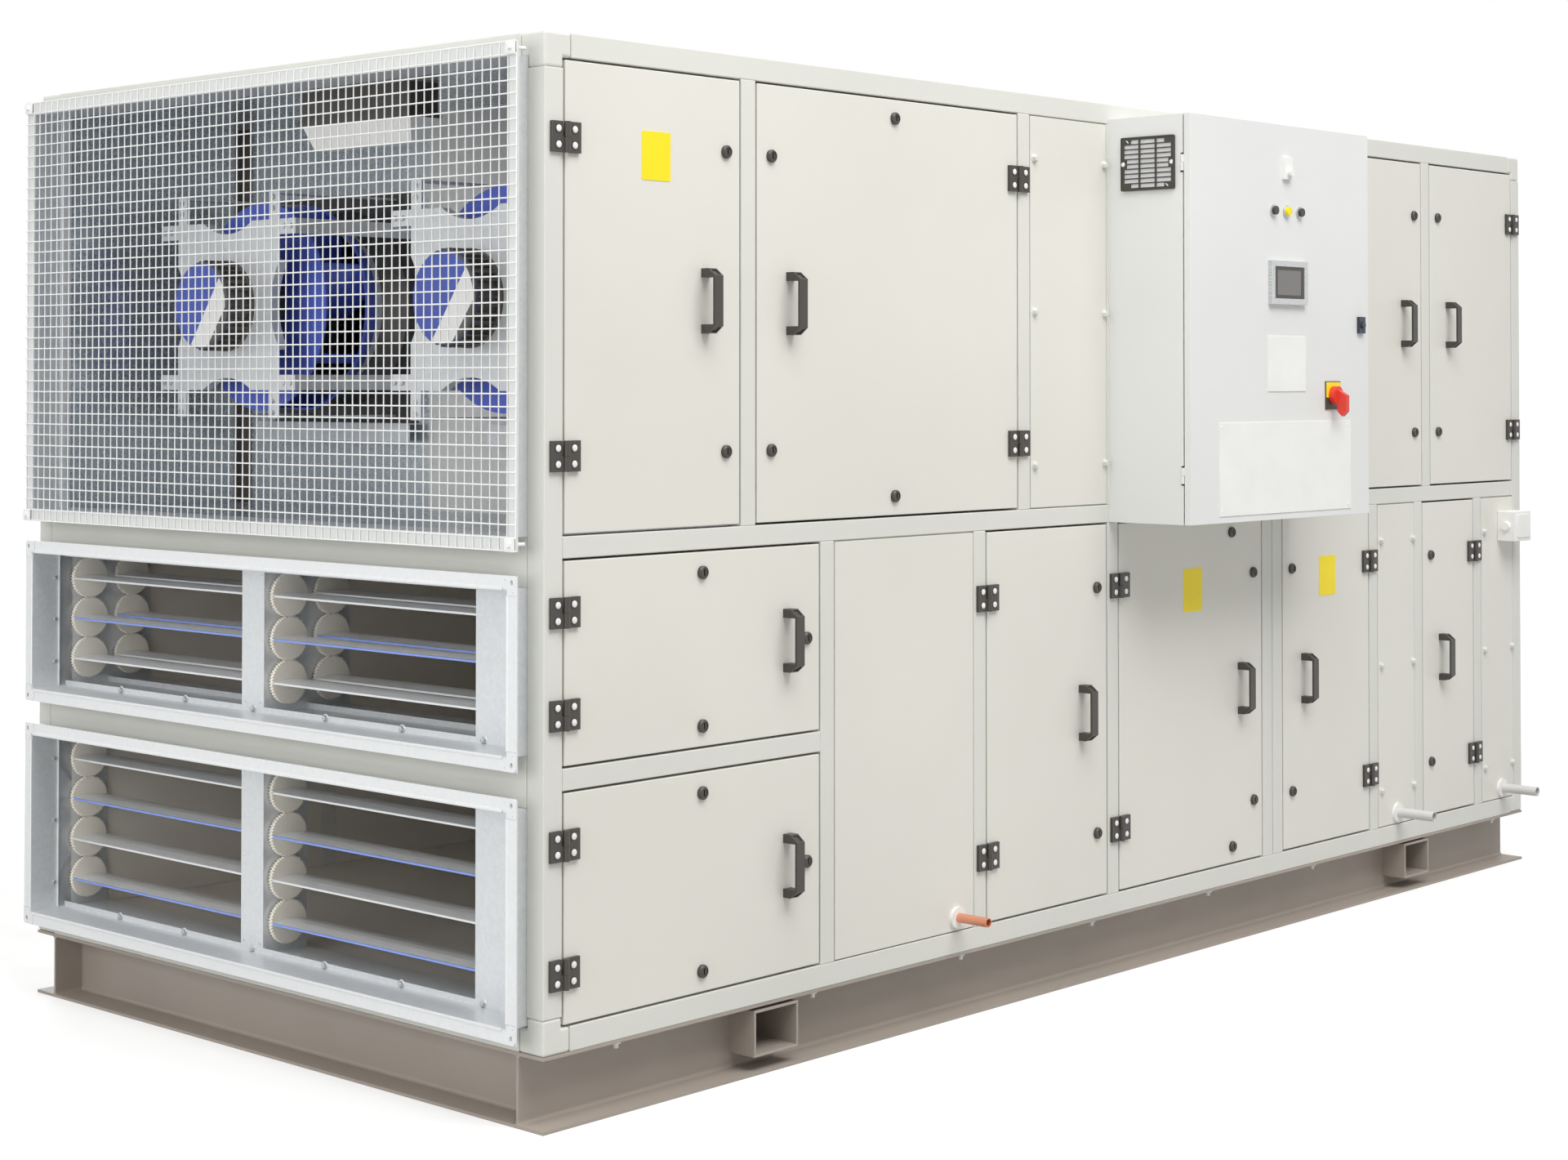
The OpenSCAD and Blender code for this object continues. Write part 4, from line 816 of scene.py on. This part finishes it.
def flange_corner(arm):
    """Outline of a corner plate of a flange: two arms and a round outer corner."""
    depth, round_r, steps = 0.027, 0.009, 6
    turns = [math.radians(90 * i / steps) for i in range(steps + 1)]
    bend = [(round_r - round_r * math.sin(a), round_r - round_r * math.cos(a)) for a in turns]
    return bend + [(0, arm), (depth, arm), (depth, depth), (arm, depth), (arm, 0)]


def flange_strips(node):
    """Slip-on flange of a damper: four rolled strips with a bead at their inner edge, and corner plates."""
    lo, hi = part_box(node)
    piece = Piece(node.replace("frame", "flange"))
    corner, gap, width = 0.040, 0.0006, 0.030
    profile = [(0, 0), (0, 0.0010), (0.0006, 0.0016), (0.0225, 0.0016), (0.0235, 0.0030), (0.0245, 0.0034),
               (0.0285, 0.0034), (width, 0.0022), (width, 0)]
    for y, inward in ((lo.y, BACK), (hi.y, FRONT)):
        start = Vector((lo.x, y, lo.z + corner))
        piece.slab([profile], start, inward, END, UP * (hi.z - lo.z - 2 * corner), "bright")
    for z, inward in ((lo.z, UP), (hi.z, -UP)):
        start = Vector((lo.x, lo.y + corner, z))
        piece.slab([profile], start, inward, END, BACK * (hi.y - lo.y - 2 * corner), "bright")
    plate_t, hole_in = 0.0022, 0.0135
    rivet_far, rivet_near, rivet_r, rivet_h = 0.033, 0.008, 0.0022, 0.0008
    loops = [flange_corner(corner - gap), hole(ring(0.0042, 0.0055), hole_in, hole_in)]
    for y, across in ((lo.y, BACK), (hi.y, FRONT)):
        for z, up in ((lo.z, UP), (hi.z, -UP)):
            spot = Vector((lo.x, y, z))
            piece.slab(loops, spot, across, up, END * plate_t, "bright")
            for a, b in ((rivet_far, rivet_near), (rivet_near, rivet_far)):
                place = spot + across * a + up * b + END * plate_t
                head(piece, place, END, rivet_r, rivet_h, "zinc", 10)
    piece.make()


def damper_bolts(node):
    """Bolts along the sill of a damper and rivets on its middle strut. Places in millimetres."""
    lo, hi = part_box(node)
    piece = Piece(node.replace("frame", "bolts"))
    face, sill, rivet_end = at(x=40).x, lo.z + 0.0375, 0.052
    first, pitch, count, strut_sides = 224, 260.5, 6, (980, 1038)
    washer_r, washer_h, bolt_out, bolt_r, bolt_h = 0.0095, 0.0016, 0.0014, 0.0068, 0.006
    rivet_r, rivet_h = 0.0035, 0.0014
    for i in range(count):
        spot = Vector((face, at(y=first + i * pitch).y, sill))
        head(piece, spot, END, washer_r, washer_h, "zinc", 20)
        head(piece, spot + END * bolt_out, END, bolt_r, bolt_h, "zinc", 6)
    for y in strut_sides:
        for z in (lo.z + rivet_end, (lo.z + hi.z) / 2, hi.z - rivet_end):
            head(piece, Vector((face, at(y=y).y, z)), END, rivet_r, rivet_h, "zinc", 12)
    piece.make()


def damper_sides(node):
    """Bright side plate behind the gears of a damper, with the bolts in the sleeve in front of it."""
    lo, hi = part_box(node)
    flange, gap, plate_t, fold, fold_t = 0.030, 0.002, 0.001, 0.006, 0.0012
    bottom, top = lo.z + flange + gap, hi.z - flange - gap
    start, end, bolt_x = at(x=20).x, at(x=58).x, at(x=10.5).x
    piece = Piece(node.replace("frame", "side"))
    piece.box((start, SIDE_FACE - plate_t, bottom), (end, SIDE_FACE, top), "bright")
    piece.box((start - fold_t, SIDE_FACE - fold, bottom), (start, SIDE_FACE, top), "bright")
    count, margin, bolt_r, bolt_h = 3, 0.06, 0.0055, 0.0055
    for i in range(count):
        z = bottom + margin + i * (top - bottom - 2 * margin) / (count - 1)
        head(piece, Vector((bolt_x, SIDE_FACE, z)), FRONT, bolt_r, bolt_h, "zinc", 6)
    piece.make()


def seal_row(piece, edge, z, key):
    """Front edge strips of one row of blades, in both halves of a damper."""
    end_gap = 2
    shape = [(-0.0012, -0.0022), (0.002, -0.0026), (0.002, 0.0026), (-0.0012, 0.0022)]
    for low, high in BLADE_BANDS:
        start, end = at(y=low + end_gap).y, at(y=high - end_gap).y
        piece.slab([shape], Vector((edge, start, z)), ALONG, UP, BACK * (end - start), key)


def blade_edges():
    """Seals along the front edges of the blades: blue on every second row, bright on the others."""
    reach = 0.046
    inner_shift = middle("inner_damper").x - middle("upper_blades_1").x
    for damper, row in ROWS:
        shaft = middle("%s_blades_%d" % (damper, row))
        key = "seal" if row % 2 == 0 else "bright"
        piece = Piece("seal_%s_%d" % (damper, row), "%s_row_%d" % (damper, row))
        seal_row(piece, shaft.x - reach, shaft.z, key)
        piece.make()
        if damper == "upper":
            piece = Piece("seal_inner_%d" % row)
            seal_row(piece, shaft.x - reach + inner_shift, shaft.z, key)
            piece.make()


# Fan chamber


def mouth_strip(piece, bottom, top):
    """Bright strip at the far side of the chamber's mouth."""
    w, t, corner = 0.021, 0.003, 0.0012
    place = Vector((at(x=30.5).x, SIDE_FACE - t / 2, bottom))
    piece.slab([rounded(w, t, corner, 3)], place, ALONG, BACK, UP * (top - bottom), "bright")


def corner_profile(piece, bottom, top):
    """Dark profile in the far corner, between the fan wall and the back panels."""
    arm, t = 0.030, 0.004
    shape = [(0, 0), (-arm, 0), (-arm, -t), (-t, -t * 2), (-t * 2, -t), (-t, -arm), (0, -arm)]
    place = Vector((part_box("fan_wall")[0].x, at(y=SIZE.y - WALL).y, bottom))
    piece.slab([shape], place, ALONG, BACK, UP * (top - bottom), "gap")


def wall_sheet(piece, bottom, top):
    """Thin sheet on the near part of the fan wall, with a hole for the near fan's inlet."""
    front, seam = at(y=WALL + TRIM_GAP).y, at(y=1032).y
    inlet_r, skin = 0.240, 0.0008
    lo, hi = min(solids("fan_motors"), key=lambda b: b[0].y)
    fan = (lo + hi) / 2
    corners = [(front, bottom), (seam, bottom), (seam, top), (front, top)]
    sheet = [(y - fan.y, z - fan.z) for y, z in corners]
    place = Vector((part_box("fan_wall")[0].x, fan.y, fan.z))
    piece.slab([sheet, hole(ring(inlet_r, inlet_r, 40))], place, BACK, UP, END * skin, "sheet")


def chamber_trim():
    """The strip at the mouth of the fan chamber, the dark far corner and the near wall sheet."""
    bottom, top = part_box("middle_deck")[1].z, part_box("fan_wall")[1].z - 0.001
    piece = Piece("chamber_trim")
    for part in (mouth_strip, corner_profile, wall_sheet):
        part(piece, bottom, top)
    piece.make()


def fan_details():
    """Bolts on the ears of the fan brackets, and a white band and a dark edge on each motor cap."""
    piece = Piece("fan_details")
    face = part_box("fan_brackets")[0].x
    ear, ends, bolt_r, bolt_h = 0.182, (0.252, 0.226), 0.007, 0.006
    cap_r, band_t, edge_t = 0.0985, 0.0006, 0.0004
    band_low, band_high = (-111, -70), (-4, 40)
    band = ring(cap_r, cap_r, 8, *band_low) + ring(cap_r, cap_r, 8, *band_high)
    edge = ring(cap_r, cap_r, 12, band_low[1], band_high[0])
    for lo, hi in sorted(solids("fan_motors"), key=lambda b: b[0].y):
        centre = Vector((face, (lo.y + hi.y) / 2, (lo.z + hi.z) / 2))
        for s in (-1, 1):
            for t in (-1, 1):
                for end in ends:
                    for place in (BACK * s * ear + UP * t * end, BACK * t * end + UP * s * ear):
                        head(piece, centre + place, END, bolt_r, bolt_h, "zinc", 6)
        cap = Vector((lo.x, centre.y, centre.z))
        piece.slab([band], cap, FRONT, UP, END * band_t, "white")
        piece.slab([edge], cap, FRONT, UP, END * edge_t, "cast")
    piece.make()


hinge_screws()
yellow_plates()
panel_bolts()
base_nuts()
control_details()
vent_grille()
cabinet_gutter()
for name in DAMPER_NODES:
    flange_strips(name)
    damper_sides(name)
    damper_bolts(name)
blade_edges()
chamber_trim()
fan_details()
box_details()


# Floor, light and camera


def seen_directly(tree):
    """One where the camera, a reflection or a view through something looks, and zero as light."""
    path = tree.nodes.new("ShaderNodeLightPath")
    seen = path.outputs["Is Camera Ray"]
    for ray in ("Is Glossy Ray", "Is Transmission Ray"):
        either = tree.nodes.new("ShaderNodeMath")
        either.operation = "MAXIMUM"
        tree.links.new(seen, either.inputs[0])
        tree.links.new(path.outputs[ray], either.inputs[1])
        seen = either.outputs["Value"]
    return seen


def floor_finish():
    """Pale paint that shows white far from the unit and keeps its shadow near it."""
    near, far, near_glow, far_glow = 3.0, 8.0, 0.6, 0.85
    s = paint("floor_paint", FLOOR, rough=0.8, drift=0.01)
    reach = s.add("ShaderNodeVectorMath", operation="LENGTH")
    s.links.new(s.place, reach.inputs[0])
    fade = s.spread(reach.outputs["Value"], near_glow, far_glow, start=near, end=far)
    strength = s.add("ShaderNodeMath", operation="MULTIPLY")
    s.links.new(fade, strength.inputs[0])
    s.links.new(seen_directly(s.tree), strength.inputs[1])
    glow = s.add("ShaderNodeEmission")
    s.links.new(strength.outputs["Value"], glow.inputs["Strength"])
    both = s.add("ShaderNodeAddShader")
    s.links.new(s.bsdf.outputs["BSDF"], both.inputs[0])
    s.links.new(glow.outputs["Emission"], both.inputs[1])
    s.links.new(both.outputs["Shader"], s.tree.nodes["Material Output"].inputs["Surface"])
    return s.material


def set_stage():
    """A wide level floor under the unit."""
    half = 40
    corners = [(-half, -half, 0), (half, -half, 0), (half, half, 0), (-half, half, 0)]
    mesh = bpy.data.meshes.new("floor")
    mesh.from_pydata(corners, [], [(0, 1, 2, 3)])
    mesh.materials.append(floor_finish())
    floor = bpy.data.objects.new("floor", mesh)
    bpy.context.scene.collection.objects.link(floor)


def set_world():
    """Even white light, and a white background for what the camera sees."""
    light, white = 0.4, 1.0
    world = bpy.data.worlds.new("studio")
    bpy.context.scene.world = world
    world.use_nodes = True
    tree = world.node_tree
    background = tree.nodes["Background"]
    background.inputs["Color"].default_value = (1, 1, 1, 1)
    level = tree.nodes.new("ShaderNodeMapRange")
    level.inputs["To Min"].default_value = light
    level.inputs["To Max"].default_value = white
    tree.links.new(seen_directly(tree), level.inputs["Value"])
    tree.links.new(level.outputs["Result"], background.inputs["Strength"])


def soft_box(name, place, target, size, power):
    """An oblong studio lamp of so many watts that faces a point."""
    data = bpy.data.lights.new(name, "AREA")
    data.shape = "RECTANGLE"
    data.size, data.size_y = size
    data.energy = power
    lamp = bpy.data.objects.new(name, data)
    bpy.context.scene.collection.objects.link(lamp)
    lamp.location = place
    lamp.rotation_mode = "QUATERNION"
    lamp.rotation_quaternion = (Vector(target) - Vector(place)).to_track_quat("-Z", "Y")


def set_camera():
    """The photograph's view: turned from the front towards the damper end, a little upward."""
    data = bpy.data.cameras.new("camera")
    camera = bpy.data.objects.new("camera", data)
    bpy.context.scene.collection.objects.link(camera)
    turn, rise = math.radians(47.558), math.radians(1.095)
    forward = Vector((math.sin(turn) * math.cos(rise), math.cos(turn) * math.cos(rise), math.sin(rise)))
    camera.location = (-5.549, -4.647, 1.483)
    camera.rotation_mode = "QUATERNION"
    camera.rotation_quaternion = forward.to_track_quat("-Z", "Y")
    data.sensor_width = 36
    data.lens = 60.654
    data.shift_x = -0.00214
    data.shift_y = -0.1584
    data.clip_end = 200
    bpy.context.scene.camera = camera


set_stage()
set_world()
soft_box("key", place=(-1.1, -4.7, 7.2), target=(0.2, -0.9, 0.9), size=(7, 4), power=530)
soft_box("side", place=(-7.2, -0.5, 2.0), target=(-2, 0, 1.1), size=(5, 3), power=110)
soft_box("side_high", place=(-5.5, 0.2, 5.2), target=(-2, 0, 0.8), size=(4, 3), power=52)
soft_box("back", place=(3.5, 7.0, 2.2), target=(0.3, 0.5, 1.1), size=(6, 3), power=200)
set_camera()
bpy.context.scene.view_settings.view_transform = "Standard"
